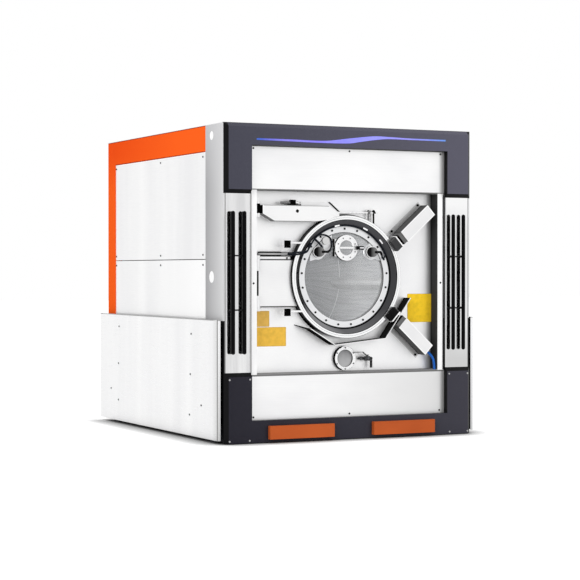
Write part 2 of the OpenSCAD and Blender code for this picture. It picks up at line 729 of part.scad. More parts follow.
// Two rubber seals: one round the window flange, one behind the rim against the plate
module door_seals() color([0.06, 0.06, 0.07]) seat() {
    on_axis() rotate_extrude($fn = 160) polygon([
        [flange_r + 0.2, seat_y], [dish_r - 0.2, seat_y], [dish_r - 0.2, flange_y - 2],
        [flange_r + 2, flange_y - 2], [flange_r + 0.2, flange_y]]);
    on_axis() rotate_extrude($fn = 160) polygon([
        [rim_r - 23, rim_back], [rim_r - 3, rim_back], [rim_r - 6, plate_y - gap],
        [rim_r - 18, plate_y - gap]]);
}

// Window flange with ears that carry the lamps
ear_r = 60;
left_ear = [[-300, 120], [-290, 300], [-110, 360], [-112, 222], [-190, 150]];
right_ear = [[196, 232], [226, 272], [330, 260], [345, 120], [262, 140]];

module flange_outline() difference() {
    union() {
        difference() {
            circle(flange_r);
            circle(window_r);
        }
        intersection() {
            circle(window_r + 1);
            union() {
                for (s = [-1, 1]) translate([s * lamp_x, lamp_up]) circle(ear_r);
                polygon(left_ear);
                polygon(right_ear);
            }
        }
    }
    translate([hatch_x, hatch_up]) circle(hatch_r + 4);
}

module door_flange() color([0.92, 0.93, 0.94]) seat() translate([0, 0, door_z])
    face(flange_y, flange_t) difference() {
        flange_outline();
        for (k = [0 : screw_count - 1]) rotate(90 + k * 360 / screw_count)
            translate([screw_circle_r, 0]) circle(4.2, $fn = 24);
    }

// Screws round the window
door_head_r = 8;

module door_screws() color([0.12, 0.12, 0.13]) seat() on_axis() for (k = [0 : screw_count - 1])
    rotate([0, 0, -90 - k * 360 / screw_count]) translate([screw_circle_r, 0, 0]) {
        translate([0, 0, flange_y - 4]) cylinder(r = door_head_r, h = 4, $fn = 24);
        translate([0, 0, flange_y]) cylinder(r = 4, h = flange_t, $fn = 24);
    }

// Ring behind the flange that holds the glass in a stepped seat
glass_r = window_r + 12;

module door_backing() color([0.55, 0.56, 0.58]) seat() on_axis() rotate_extrude() polygon([
    [glass_r + 0.2, seat_y], [dish_r + 4.5, seat_y], [dish_r + 4.5, seat_y + glass_t + 6],
    [window_r - 4, seat_y + glass_t + 6], [window_r - 4, seat_y + glass_t], [glass_r + 0.2, seat_y + glass_t]]);

// Round window with a hole for the hatch
module window_glass() color([0.70, 0.75, 0.78, 0.35]) seat() difference() {
    rod_y(0, door_z, seat_y, seat_y + glass_t, glass_r);
    rod_y(hatch_x, door_z + hatch_up, seat_y - 1, seat_y + glass_t + 1, hatch_bore_r + 4);
}

// Box arm that carries the door, cut to the rim's curve
arm_y = 82;
arm_z = [1018, 1382];
arm_left = -746;
arm_end = 400;
strip_top = arm_z[1] + 24;

module hinge_arm() color([0.88, 0.89, 0.90]) seat() difference() {
    union() {
        span([arm_left, arm_y, arm_z[0]], [-arm_end, plate_y - 4, arm_z[1]]);
        span([arm_left, arm_y + 6, arm_z[1]], [-arm_end, plate_y - 4, strip_top]);
        for (k = [0, 1]) let (z0 = arm_knuckles[k][0], z1 = z0 + arm_knuckles[k][1]) {
            knuckle(z0, z1 - z0);
            span([-hinge_x, hinge_y + 4, z0], [-hinge_x + knuckle_r, plate_y - 4, z1]);
            span([-hinge_x, arm_y, z0], [arm_left + 6, plate_y - 4, z1]);
        }
    }
    rod_y(0, door_z, 0, plate_y + 1, rim_r + gap);
    for (k = [0, 1]) translate([-hinge_x, hinge_y, arm_z[0] - 10]) cylinder(r = pin_r + pin_clear, h = 400);
}

// Cable conduit on the arm's upper strip, with a light connector at its end
conduit_r = 17;
conduit_y = 84;
conduit_z = strip_top + gap + conduit_r;
conduit_x = -743;
connector_x = [-558, -507];

module arm_conduit() color([0.12, 0.12, 0.13]) seat() {
    translate([conduit_x, conduit_y, conduit_z]) rotate([0, 90, 0])
        cylinder(r = conduit_r, h = connector_x[0] - conduit_x);
    translate([connector_x[0], conduit_y, conduit_z]) rotate([0, 90, 0])
        cylinder(r = conduit_r - 2, h = connector_x[1] - connector_x[0]);
}

// Channel arm over the door, with its knuckle at the left and a wider plate behind
upper_y = 24;
upper_outline = [[-736, 1791], [-180, 1791], [-86, 1738], [-86, 1700], [-300, 1669], [-630, 1669],
    [-736, 1727]];
rear_outline = [[-379, 1700], [-379, 1824], [-138, 1820], [-43, 1741], [-43, 1700]];

module upper_arm() color([0.88, 0.89, 0.90]) seat() difference() {
    union() {
        face(upper_y, plate_y - 4 - upper_y) polygon(upper_outline);
        face(plate_y - 8, 4) polygon(rear_outline);
        knuckle(arm_knuckles[2][0], arm_knuckles[2][1]);
        span([-hinge_x, upper_y + 8, arm_knuckles[2][0]],
            [-734, plate_y - 4, arm_knuckles[2][0] + arm_knuckles[2][1]]);
    }
    face(upper_y + 4, 60) polygon([for (p = upper_outline)
        [lerp(-400, p[0], p[0] < -600 ? 0.88 : 0.98), lerp(1735, p[1], 0.88)]]);
    rod_y(0, door_z, 0, plate_y + 1, rim_r + gap);
    rod_y(-445, 1748, 0, plate_y + 1, 11);
    translate([-hinge_x, hinge_y, arm_knuckles[2][0] - 10]) cylinder(r = pin_r + pin_clear, h = 100);
}

// Small fittings of the arms: tie bar to the rim with two bolts, hose joint, edge strip, block and screw
tie_z = 1740;
bolt_spots = [[247, 7], [200, 6]];
edge_strip = [[-138, 1820], [-132, 1827], [-37, 1748], [-43, 1741]];
joint_z = 1812;

module arm_fittings() color([0.15, 0.15, 0.16]) seat() {
    difference() {
        span([-112, 70, tie_z], [280, 100, tie_z + 10]);
        face(upper_y, plate_y) polygon(upper_outline);
        for (b = bolt_spots) translate([b[0], 85, tie_z - 1]) cylinder(r = b[1], h = 20);
    }
    face(plate_y - 14, 6) polygon(edge_strip);
    span([-507, 46, upper_outline[0][1]], [-402, 76, upper_outline[0][1] + 9]);
    span([-490, 48, upper_outline[0][1] + 9], [-446, 74, joint_z + 22]);
    translate([-446, 61, joint_z]) rotate([0, 90, 0]) cylinder(r = 11, h = 24);
    translate([-568, 61, joint_z]) rotate([0, 90, 0]) cylinder(r = 9, h = 78);
    difference() {
        span([-472, arm_y - 6, arm_z[1] + gap], [-441, arm_y + 6, strip_top - 1]);
        rod_y(0, door_z, 0, plate_y + 1, rim_r + gap);
    }
    rod_y(-503, arm_z[1] + 9, arm_y + 2, arm_y + 6, screw_r);
    difference() {
        for (b = bolt_spots) translate([b[0], 85, 0]) {
            translate([0, 0, 1600]) cylinder(r = b[1], h = tie_z + 28 - 1600);
            translate([0, 0, tie_z + 10]) cylinder(r = b[1] + 5, h = 12);
        }
        rod_y(0, door_z, 0, plate_y + 1, rim_r + gap);
    }
}

// Rubber buffers on flat bars at the hinge side of the rim
buffer_up = [[248, 259], [-269, -262]];
buffer_x = [-552, -504];
buffer_half = 28;
buffer_mid = (buffer_x[0] + buffer_x[1]) / 2;

module stop_buffers() color([0.07, 0.07, 0.08]) seat() for (u = buffer_up) {
    span([buffer_x[1], rim_y - 12, door_z + u[1] - 7], [-385, rim_y, door_z + u[1] + 7]);
    span([buffer_x[0], rim_y - 34, door_z + u[0] - buffer_half],
        [buffer_x[1], rim_y, door_z + u[0] + buffer_half]);
    rod_y(buffer_mid, door_z + u[0], rim_y, plate_y - gap, 12);
}

// Fixed seat of the sampling hatch, with hinge lugs and the latch's lug
hatch_z = door_z + hatch_up;
lid_y = seat_y - 28;
hatch_pin_x = hatch_x - hatch_r - 9;
hatch_pin_y = lid_y + lid_t / 2;
hatch_pin_r = 4;
barrel_r = 7;
seat_front = lid_y + lid_t + gap;
fixed_barrels = [-66, 36];
lid_barrels = [-35, 5];
barrel_l = 30;
latch_x = hatch_x + hatch_r + 24;

module hatch_barrel(z) translate([hatch_pin_x, hatch_pin_y, hatch_z + z])
    cylinder(r = barrel_r, h = barrel_l, $fn = 48);

module hatch_seat() color([0.90, 0.91, 0.92]) seat() {
    difference() {
        union() {
            rod_y(hatch_x, hatch_z, seat_front, seat_y, hatch_r);
            span([latch_x - 30, seat_front, hatch_z - 16], [latch_x + 18, seat_y, hatch_z + 16]);
            for (b = fixed_barrels) let (z0 = hatch_z + b, z1 = z0 + barrel_l) {
                hatch_barrel(b);
                span([hatch_pin_x, hatch_pin_y, z0], [hatch_pin_x + barrel_r, seat_y, z1]);
                span([hatch_pin_x, seat_front, z0], [hatch_x - 60, seat_y, z1]);
            }
        }
        rod_y(hatch_x, hatch_z, lid_y, seat_y + 1, hatch_bore_r + 6);
        rod_y(latch_x, hatch_z, lid_y, seat_y + 1, 5);
    }
    translate([hatch_pin_x, hatch_pin_y, hatch_z - 68]) cylinder(r = hatch_pin_r, h = 136, $fn = 48);
}

// Hinged ring of the hatch with its grip bar
module hatch_lid() color([0.90, 0.91, 0.92]) seat() difference() {
    union() {
        rod_y(hatch_x, hatch_z, lid_y, lid_y + lid_t, hatch_r);
        for (b = lid_barrels) let (z0 = hatch_z + b) {
            hatch_barrel(b);
            span([hatch_pin_x, lid_y + 3, z0], [hatch_x - 80, lid_y + lid_t - 1, z0 + barrel_l]);
        }
        span([hatch_x - 60, lid_y - 10, hatch_z - 7], [hatch_x + 84, lid_y, hatch_z + 7]);
        for (k = [0 : 7]) on_axis(hatch_x, hatch_z) rotate([0, 0, 22.5 + k * 45])
            translate([hatch_r - 20, 0, lid_y - 4]) cylinder(r = 5, h = 5, $fn = 24);
    }
    rod_y(hatch_x, hatch_z, lid_y + 0.1, lid_y + lid_t + 1, hatch_bore_r);
    rod_y(hatch_x, hatch_z, lid_y + 4, lid_y + lid_t + 1, hatch_bore_r + 5);
    difference() {
        rod_y(hatch_x, hatch_z, lid_y - 1, lid_y + 1, hatch_bore_r);
        span([hatch_x - 70, lid_y - 2, hatch_z - 7], [hatch_x + 84, lid_y + 2, hatch_z + 7]);
    }
    translate([hatch_pin_x, hatch_pin_y, hatch_z - 80])
        cylinder(r = hatch_pin_r + pin_clear, h = 160, $fn = 48);
}

// Small glass of the hatch
module hatch_glass() color([0.70, 0.75, 0.78, 0.35]) seat()
    rod_y(hatch_x, hatch_z, lid_y + 4, lid_y + lid_t - 1, hatch_bore_r + 4.8);

// Turning latch that holds the hatch shut
module hatch_latch() color([0.10, 0.10, 0.11]) seat() {
    rod_y(latch_x, hatch_z, lid_y - 28, lid_y - gap, 15);
    span([latch_x - 36, lid_y - 7, hatch_z - 9], [latch_x, lid_y - gap, hatch_z + 9]);
    span([latch_x - 47, lid_y - 26, hatch_z - 14], [latch_x + 16, lid_y - 13, hatch_z + 14]);
    rod_y(latch_x, hatch_z, lid_y - gap, seat_y - 1, 5 - pin_clear);
}

// Round lamps on the ears, and a small round sensor beside the left one
lamp_h = 40;
sensor_spot = [-169, 278, 30];

module lamps() color([0.08, 0.08, 0.09]) seat() {
    for (s = [-1, 1]) {
        rod_y(s * lamp_x, door_z + lamp_up, flange_y - lamp_h, flange_y, lamp_r);
        rod_y(s * lamp_x, door_z + lamp_up, flange_y - 8, flange_y, lamp_r + 8);
        translate([s * lamp_x + 20, flange_y - lamp_h - 8, door_z + lamp_up]) rotate([0, 90, 0])
            cylinder(r = 9, h = 34);
        rod_y(s * lamp_x + 22, door_z + lamp_up, flange_y - lamp_h - 8, flange_y - lamp_h, 9);
    }
    rod_y(sensor_spot[0], door_z + sensor_spot[1], flange_y - 14, flange_y, sensor_spot[2]);
}

// Cables from the lamps and the sensor, clipped round the flange and led along the arm
cable_r = 6;
arc_r = flange_r - 6;
arc_y = flange_y - cable_r - 2;
right_gland = [lamp_x + 54 + gap, flange_y - lamp_h - 8, door_z + lamp_up];
left_gland = [-lamp_x + 54 + gap, flange_y - lamp_h - 8, door_z + lamp_up];
plug = [connector_x[1] + gap, conduit_y, conduit_z];
right_run = [right_gland, right_gland + [8, 0, 0], right_gland + [24, 4, -14], [328, 68, 1404],
    [346, 80, 1400], [362, 88, 1412]];
over_run = [[-318, 80, 1488], [-334, 58, 1466], [-354, 42, 1440], [-400, 40, 1424], [-446, 42, 1418],
    [-478, 66, plug[2] - 6.5], plug + [10, 0, -6.5], plug + [0, 0, -6.5]];
left_run = [left_gland, left_gland + [8, 0, 0], left_gland + [24, 8, 6], [-132, 78, 1464], [-117, 91, 1498],
    [-124, 92, 1544], [-176, 92, 1573], [-245, 84, 1562], [-296, 62, 1520], [-334, 40, 1472], [-366, 26, 1444],
    [-410, 28, 1436], [-452, 36, 1433], [-480, 62, plug[2] + 6.5], plug + [10, 0, 6.5], plug + [0, 0, 6.5]];

module door_cables() color([0.07, 0.08, 0.10]) seat() {
    cable(concat(right_run, [for (a = [30 : 12 : 138]) [arc_r * cos(a), arc_y, door_z + arc_r * sin(a)]],
        over_run), cable_r);
    cable(left_run, cable_r);
}

// Pneumatic clamps: where each stands and how it is turned
clamp_spots = [[478, 1560, upper_angle], [462, 888, -lower_angle]];
shoe_out = [57, 75];
hose_r = 10;
hose_y = 56;
fitting_l = 18;
clamp_depth = plate_y;
cover_t = 4;

module at_clamp(k) translate([clamp_spots[k][0], 0, clamp_spots[k][1]])
    rotate([0, -clamp_spots[k][2], 0]) children();

rod_y_mid = 66;

module clamp_cover() difference() {
    span([0, 0, -clamp_w / 2], [clamp_l, clamp_depth, clamp_w / 2]);
    span([-1, cover_t, -clamp_w / 2 + cover_t], [clamp_l - cover_t, clamp_depth + 1, clamp_w / 2 - cover_t]);
}

// Foot along one side of a clamp's cover, with a bolt near each end
clamp_foot_w = 36;
clamp_foot_t = 5;
foot_bolt_x = [-14, clamp_l - 22];
foot_bolt_h = 9;

module clamp_foot(side) {
    span([-38, plate_y - clamp_foot_t, side > 0 ? clamp_w / 2 : -clamp_w / 2 - clamp_foot_w],
        [clamp_l, plate_y, side > 0 ? clamp_w / 2 + clamp_foot_w : -clamp_w / 2]);
    for (x = foot_bolt_x)
        translate([x, plate_y - clamp_foot_t - foot_bolt_h, side * (clamp_w / 2 + 22)])
            rotate([-90, 0, 0]) cylinder(r = foot_bolt_h, h = foot_bolt_h);
}

module clamp_cylinder() difference() {
    translate([60, rod_y_mid, 0]) rotate([0, 90, 0]) cylinder(r = 38, h = clamp_l - 102);
    translate([59, rod_y_mid, 0]) rotate([0, 90, 0]) cylinder(r = rod_d / 2 + pin_clear, h = clamp_l - 122);
}

module clamp_housings() color([0.90, 0.91, 0.92]) seat() for (k = [0, 1]) at_clamp(k) {
    clamp_cover();
    clamp_foot(k == 0 ? 1 : -1);
    clamp_cylinder();
    span([90, rod_y_mid + 30, -30], [clamp_l - 72, clamp_depth, 30]);
    translate([clamp_l, hose_y, 0]) rotate([0, 90, 0]) cylinder(r = hose_r + 4, h = fitting_l);
}

// Rod, slide block, plate and shoe of a clamp
block_front = 38;
block_half = clamp_w / 2 - cover_t - 1.5;

module ram(out) {
    span([-block_front, cover_t + 2, -block_half], [10, 96, block_half]);
    translate([-out + 8, rod_y_mid, 0]) rotate([0, 90, 0]) cylinder(d = rod_d, h = out + 190 - clamp_travel);
    span([-out, 10, -50], [-out + 8, 86, 50]);
    span([-out - shoe_l, 14, -50], [-out, rim_y - gap, 50]);
}

module upper_ram() color([0.20, 0.20, 0.22]) seat() at_clamp(0) ram(shoe_out[0]);

module lower_ram() color([0.20, 0.20, 0.22]) seat() at_clamp(1) ram(shoe_out[1]);

// Drip tray bent from one sheet round the lower half of the door, cut away at its left end
tray_line = [[535, 1083], [312, 771], [-127, 727], [-333, 851], [-431, 884]];
tray_t = 4;
tray_front = 4;

function edge_dir(p, i) = unit(p[i + 1] - p[i]);
function left_of(d) = [-d[1], d[0]];
function shifted(p, i, t) = let (a = edge_dir(p, max(i - 1, 0)), b = edge_dir(p, min(i, len(p) - 2)),
    n = unit(left_of(a) + left_of(b))) p[i] + n * t / (n * left_of(b));

module drip_tray() color([0.80, 0.81, 0.83]) seat() difference() {
    face(tray_front, plate_y - tray_front) polygon(concat(tray_line,
        [for (i = [len(tray_line) - 1 : -1 : 0]) shifted(tray_line, i, tray_t)]));
    translate([0, 0, 800]) linear_extrude(150) polygon([[tray_line[3][0], tray_front],
        [tray_line[4][0], plate_y], [-500, plate_y], [-500, 0], [tray_line[3][0], 0]]);
    at_clamp(1) span([-110, 9, -56], [-20, 92, 56]);
}

// Round sight port under the door
module sight_port() color([0.88, 0.89, 0.90]) seat() {
    difference() {
        rod_y(0, port_z, plate_y - 22, plate_y, port_r);
        rod_y(0, port_z, plate_y - 23, plate_y + 1, port_glass_r - 4);
        rod_y(0, port_z, plate_y - 10, plate_y + 1, port_glass_r);
    }
    for (k = [0 : 5]) on_axis(0, port_z) rotate([0, 0, 30 + k * 60])
        translate([port_r - 12, 0, plate_y - 27]) cylinder(r = 6, h = 6, $fn = 24);
}

// Round glass of the sight port, held between the ring and the plate
module sight_glass() color([0.70, 0.75, 0.78, 0.35]) seat()
    rod_y(0, port_z, plate_y - 10, plate_y, port_glass_r - gap);

// Sampling tap: a stub from the plate, the valve body and the spout
tap_end = 218;
stem_x = 184;

module sample_tap() color([0.45, 0.45, 0.46]) seat() difference() {
    union() {
        rod_y(tap_x, tap_z, tap_y, plate_y + plate_t + 10, 10);
        translate([tap_x, tap_y, tap_z]) sphere(r = 14);
        translate([tap_x, tap_y, tap_z]) rotate([0, 90, 0]) cylinder(r = 11, h = tap_end - tap_x);
        translate([stem_x - 22, tap_y, tap_z]) rotate([0, 90, 0]) cylinder(r = 18, h = 44);
        translate([stem_x, tap_y, tap_z]) cylinder(r = 10, h = 24);
        translate([tap_end, tap_y, tap_z]) sphere(r = 12);
        translate([tap_end, tap_y, tap_z - 72]) cylinder(r = 10, h = 72);
    }
    translate([stem_x, tap_y, tap_z + 12]) cylinder(r = 4 + pin_clear, h = 20);
    translate([tap_end, tap_y, tap_z - 73]) cylinder(r = 7, h = 74);
}

// Quarter-turn lever of the tap: a bent strip on a short stem
lever_z = tap_z + 24 + gap;
lever_w = 16;

module tap_lever() color([0.30, 0.30, 0.32]) seat() {
    translate([stem_x, tap_y, tap_z + 14]) cylinder(r = 4, h = lever_z - tap_z - 12);
    face(tap_y - lever_w / 2, lever_w) polygon([[stem_x + 12, lever_z], [stem_x + 12, lever_z + 5],
        [stem_x - 12, lever_z + 5], [stem_x - 36, lever_z + 28], [stem_x - 112, lever_z + 28],
        [stem_x - 112, lever_z + 23], [stem_x - 38, lever_z + 23], [stem_x - 14, lever_z]]);
}

// Compressed-air hose from the lower clamp, through the recess floor
hose_end = [recess_half - 14, 44, recess_bottom - sheet_t - 30];

function clamp_point(k, s) = [clamp_spots[k][0] + s * cos(clamp_spots[k][2]), hose_y,
    clamp_spots[k][1] + s * sin(clamp_spots[k][2])];

module air_hose() color([0.10, 0.30, 0.62]) seat()
    cable([clamp_point(1, clamp_l + fitting_l + gap), clamp_point(1, clamp_l + fitting_l + 10),
        hose_end + [-30, 5, 146], hose_end + [-11, 1, 116], hose_end + [-3, 0, 80], hose_end + [0, 0, 45],
        hose_end], hose_r, 10);

base_frame();
anchor_plates();
front_pillars();
pillar_caps();
painted_frame();
side_panels();
roof_panel();
rear_panels();
side_guards();
upper_bezel();
lower_bezel();
plinth_blocks();
column_panels();
column_bars();
bar_brackets();
front_panels();
recess_frame();
front_plate();
cabinet_screws();
tub_ring();
outer_tub();
tub_cradle();
bearing_housing();
bearings();
drum();
lifters();
drum_shaft();
drum_pulley();
drive_belts();
motor();
motor_pulley();
hinge_lugs();
hinge_pins();
door_rim();
door_seals();
door_flange();
door_backing();
window_glass();
door_screws();
hinge_arm();
arm_conduit();
upper_arm();
arm_fittings();
stop_buffers();
hatch_seat();
hatch_lid();
hatch_glass();
hatch_latch();
lamps();
door_cables();
clamp_housings();
upper_ram();
lower_ram();
drip_tray();
sight_port();
sight_glass();
air_hose();
sample_tap();
tap_lever();
pipe_stubs();
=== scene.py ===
import math

import bmesh
import bpy
from mathutils import Matrix, Vector


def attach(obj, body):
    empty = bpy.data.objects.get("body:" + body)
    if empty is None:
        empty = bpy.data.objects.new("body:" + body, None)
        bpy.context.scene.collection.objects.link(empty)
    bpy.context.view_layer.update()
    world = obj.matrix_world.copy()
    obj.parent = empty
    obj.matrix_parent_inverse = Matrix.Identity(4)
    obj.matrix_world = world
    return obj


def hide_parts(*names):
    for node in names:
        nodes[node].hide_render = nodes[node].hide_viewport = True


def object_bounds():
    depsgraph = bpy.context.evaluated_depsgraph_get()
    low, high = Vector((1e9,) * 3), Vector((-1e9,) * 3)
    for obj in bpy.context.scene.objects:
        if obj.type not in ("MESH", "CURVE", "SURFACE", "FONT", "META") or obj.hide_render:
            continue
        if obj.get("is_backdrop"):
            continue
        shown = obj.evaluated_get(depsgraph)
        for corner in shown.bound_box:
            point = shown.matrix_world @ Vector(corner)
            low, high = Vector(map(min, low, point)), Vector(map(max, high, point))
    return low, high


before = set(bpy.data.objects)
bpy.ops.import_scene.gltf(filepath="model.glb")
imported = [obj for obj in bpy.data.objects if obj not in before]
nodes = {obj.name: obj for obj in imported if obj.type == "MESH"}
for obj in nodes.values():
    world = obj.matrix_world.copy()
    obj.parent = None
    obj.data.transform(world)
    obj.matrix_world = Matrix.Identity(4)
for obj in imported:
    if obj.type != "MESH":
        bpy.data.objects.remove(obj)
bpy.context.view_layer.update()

# Camera: it stands well to the left, at about half the machine's height, where the photograph was taken.
# Its lens and turn come from lining up the corners of the cabinet, and it has no shift.
camera_data = bpy.data.cameras.new("studio_camera")
camera_data.lens = 110.18
camera_data.sensor_width = 36
camera_data.clip_end = 200
camera = bpy.data.objects.new("studio_camera", camera_data)
camera.location = (-6.4313, -13.2929, 1.2917)
camera.rotation_euler = (math.radians(90 - 0.609), 0, math.radians(-26.118))
bpy.context.scene.collection.objects.link(camera)
bpy.context.scene.camera = camera
bpy.context.scene.view_settings.view_transform = "Standard"


# Studio: a white surround, a white floor that keeps the shadow under the machine, and two soft lights.
# The surround and the floor are plain white for the camera, for gloss and through glass, and dimmer as light.
def wire(tree, kind, inputs=None, **settings):
    made = tree.nodes.new(kind)
    for key, value in settings.items():
        setattr(made, key, value)
    for key, value in (inputs or {}).items():
        if isinstance(value, bpy.types.NodeSocket):
            tree.links.new(value, made.inputs[key])
        else:
            made.inputs[key].default_value = value
    return made


def sum_up(tree, operation, *values):
    return wire(tree, "ShaderNodeMath", dict(enumerate(values)), operation=operation).outputs[0]


def seen_directly(tree, path):
    gloss = sum_up(tree, "MAXIMUM", path.outputs["Is Camera Ray"], path.outputs["Is Glossy Ray"])
    return sum_up(tree, "MAXIMUM", gloss, path.outputs["Is Transmission Ray"])


surround_light = 0.8
world = bpy.data.worlds.new("white_surround")
world.use_nodes = True
bpy.context.scene.world = world
tree = world.node_tree
direct = seen_directly(tree, wire(tree, "ShaderNodeLightPath"))
sky = tree.nodes["Background"]
sky.inputs["Color"].default_value = (1, 1, 1, 1)
tree.links.new(sum_up(tree, "MULTIPLY_ADD", direct, 1 - surround_light, surround_light), sky.inputs["Strength"])

floor_half = 60
shadow_reach, shadow_depth = 0.24, 3.0
floor_matt, floor_bounce = (0.32, 0.32, 0.32, 1), (0.72, 0.72, 0.72, 1)
floor_mesh = bpy.data.meshes.new("studio_floor")
floor_bm = bmesh.new()
bmesh.ops.create_grid(floor_bm, x_segments=1, y_segments=1, size=floor_half)
floor_bm.to_mesh(floor_mesh)
floor_bm.free()
studio_floor = bpy.data.objects.new("studio_floor", floor_mesh)
bpy.context.scene.collection.objects.link(studio_floor)
floor_white = bpy.data.materials.new("floor_white")
floor_white.use_nodes = True
tree = floor_white.node_tree
tree.nodes.clear()
path = wire(tree, "ShaderNodeLightPath")
near = wire(tree, "ShaderNodeAmbientOcclusion", {"Distance": shadow_reach}, samples=16)
shade = sum_up(tree, "POWER", near.outputs["AO"], shadow_depth)
glow = wire(tree, "ShaderNodeEmission", {"Strength": shade})
matt = wire(tree, "ShaderNodeBsdfDiffuse", {"Color": floor_matt})
lit_glow = wire(tree, "ShaderNodeAddShader", {0: glow.outputs[0], 1: matt.outputs[0]})
seen = wire(tree, "ShaderNodeMixShader",
            {0: path.outputs["Is Camera Ray"], 1: glow.outputs[0], 2: lit_glow.outputs[0]})
unseen = wire(tree, "ShaderNodeBsdfDiffuse", {"Color": floor_bounce})
both_ways = wire(tree, "ShaderNodeMixShader",
                 {0: seen_directly(tree, path), 1: unseen.outputs[0], 2: seen.outputs[0]})
wire(tree, "ShaderNodeOutputMaterial", {"Surface": both_ways.outputs[0]})
floor_mesh.materials.append(floor_white)
studio_floor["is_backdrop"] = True

lamp_side, lamp_aim = 5.0, Vector((0, 0, 1.2))
for lamp_name, place, watts in (("key_light", (6.0, -9.5, 5.5), 330), ("fill_light", (-8.0, -6.0, 4.5), 300)):
    lamp_data = bpy.data.lights.new(lamp_name, "AREA")
    lamp_data.size = lamp_side
    lamp_data.energy = watts
    lamp = bpy.data.objects.new(lamp_name, lamp_data)
    lamp.location = place
    lamp.rotation_mode = "QUATERNION"
    lamp.rotation_quaternion = (lamp_aim - Vector(place)).to_track_quat("-Z", "Y")
    lamp.visible_glossy = False
    bpy.context.scene.collection.objects.link(lamp)


# Base frame, its anchor plates and the tub's saddles: welded box steel in dark grey primer.
# The paint is sprayed on, so it has a slight texture and drifts a little in tone.
def tint(red, green, blue):
    channels = (c / 255 for c in (red, green, blue))
    return tuple(c / 12.92 if c <= 0.04045 else ((c + 0.055) / 1.055) ** 2.4 for c in channels) + (1.0,)


def new_finish(name, roughness, metallic=0.0, gloss=0.12):
    material = bpy.data.materials.new(name)
    material.use_nodes = True
    shader = material.node_tree.nodes["Principled BSDF"]
    shader.inputs["Roughness"].default_value = roughness
    shader.inputs["Metallic"].default_value = metallic
    shader.inputs["Specular IOR Level"].default_value = gloss
    return material, material.node_tree, shader


def place_of(tree):
    return wire(tree, "ShaderNodeTexCoord").outputs["Object"]


def along(tree, where, axis):
    return wire(tree, "ShaderNodeSeparateXYZ", {0: where}).outputs["xyz".index(axis)]


def cloud(tree, where, size, detail=3.0, stretch=(1, 1, 1)):
    lay = wire(tree, "ShaderNodeMapping", {"Vector": where, "Scale": stretch}).outputs[0]
    return wire(tree, "ShaderNodeTexNoise", {"Vector": lay, "Scale": 1 / size, "Detail": detail}).outputs["Fac"]


def spread(tree, value, low, high, to_low=0.0, to_high=1.0):
    return wire(tree, "ShaderNodeMapRange", {0: value, 1: low, 2: high, 3: to_low, 4: to_high}).outputs[0]


def between(tree, share, first, second):
    made = wire(tree, "ShaderNodeMix", {0: share}, data_type="RGBA")
    for socket, value in ((made.inputs[6], first), (made.inputs[7], second)):
        if isinstance(value, bpy.types.NodeSocket):
            tree.links.new(value, socket)
        else:
            socket.default_value = value
    return made.outputs[2]


def relief(tree, shader, height, depth, strength=0.5):
    bump = wire(tree, "ShaderNodeBump", {"Strength": strength, "Distance": depth, "Height": height})
    tree.links.new(bump.outputs[0], shader.inputs["Normal"])


def dimpled(tree, shader, where, dimple, rough, depth=0.0004, strength=0.3):
    peel = cloud(tree, where, dimple, 2.0)
    tree.links.new(spread(tree, peel, 0.3, 0.7, *rough), shader.inputs["Roughness"])
    relief(tree, shader, peel, depth, strength)
    return peel


def sprayed_paint(name, colour, shade, roughness=0.42, dimple=0.004):
    material, tree, shader = new_finish(name, roughness)
    where = place_of(tree)
    drift = cloud(tree, where, 0.45, 2.0)
    tree.links.new(between(tree, spread(tree, drift, 0.35, 0.65), colour, shade), shader.inputs["Base Color"])
    dimpled(tree, shader, where, dimple, (roughness - 0.06, roughness + 0.08), 0.0005, 0.35)
    return material


def dress(material, *names):
    for name in names:
        nodes[name].material_slots[0].material = material


dress(sprayed_paint("grey_primer", tint(64, 66, 70), tint(52, 54, 58), 0.5),
      "base_frame", "anchor_plates", "tub_cradle")


# Front pillars: folded steel in light grey powder coat, closed by white moulded plugs.
# The coat is satin, and painted shade makes it darker to the rear, even towards the top and black behind the
# guards.
# Places are in millimetres, and their Y starts at the cabinet's front, which stands before the frame's origin.
front_to_origin = 1235


def from_axis(tree, where):
    flat = wire(tree, "ShaderNodeVectorMath", {0: where, 1: (1, 0, 1)}, operation="MULTIPLY").outputs[0]
    return wire(tree, "ShaderNodeVectorMath", {0: flat}, operation="LENGTH").outputs["Value"]


def zone(at=None, **ranges):
    def find(tree, where):
        if at:
            where = wire(tree, "ShaderNodeMapping",
                         {"Vector": where, "Location": (at[0] / 1000, 0, at[1] / 1000),
                          "Rotation": (0, -math.radians(at[2]), 0)}, vector_type="TEXTURE").outputs[0]
        mask = None
        for axis, (low, high) in ranges.items():
            if axis == "aside":
                value = sum_up(tree, "ABSOLUTE", along(tree, where, "x"))
            elif axis == "r":
                value = from_axis(tree, where)
            else:
                value = along(tree, where, axis)
            middle = (low + high) / 2000 - (front_to_origin / 1000 if axis == "y" else 0)
            hit = sum_up(tree, "COMPARE", value, middle, (high - low) / 2000)
            mask = sum_up(tree, "MULTIPLY", mask, hit) if mask else hit
        return mask
    return find


def fade(axis, low, high, *inside):
    def find(tree, where):
        back = front_to_origin / 1000 if axis == "y" else 0
        mask = spread(tree, along(tree, where, axis), low / 1000 - back, high / 1000 - back)
        for area in inside:
            mask = sum_up(tree, "MULTIPLY", mask, area(tree, where))
        return mask
    return find


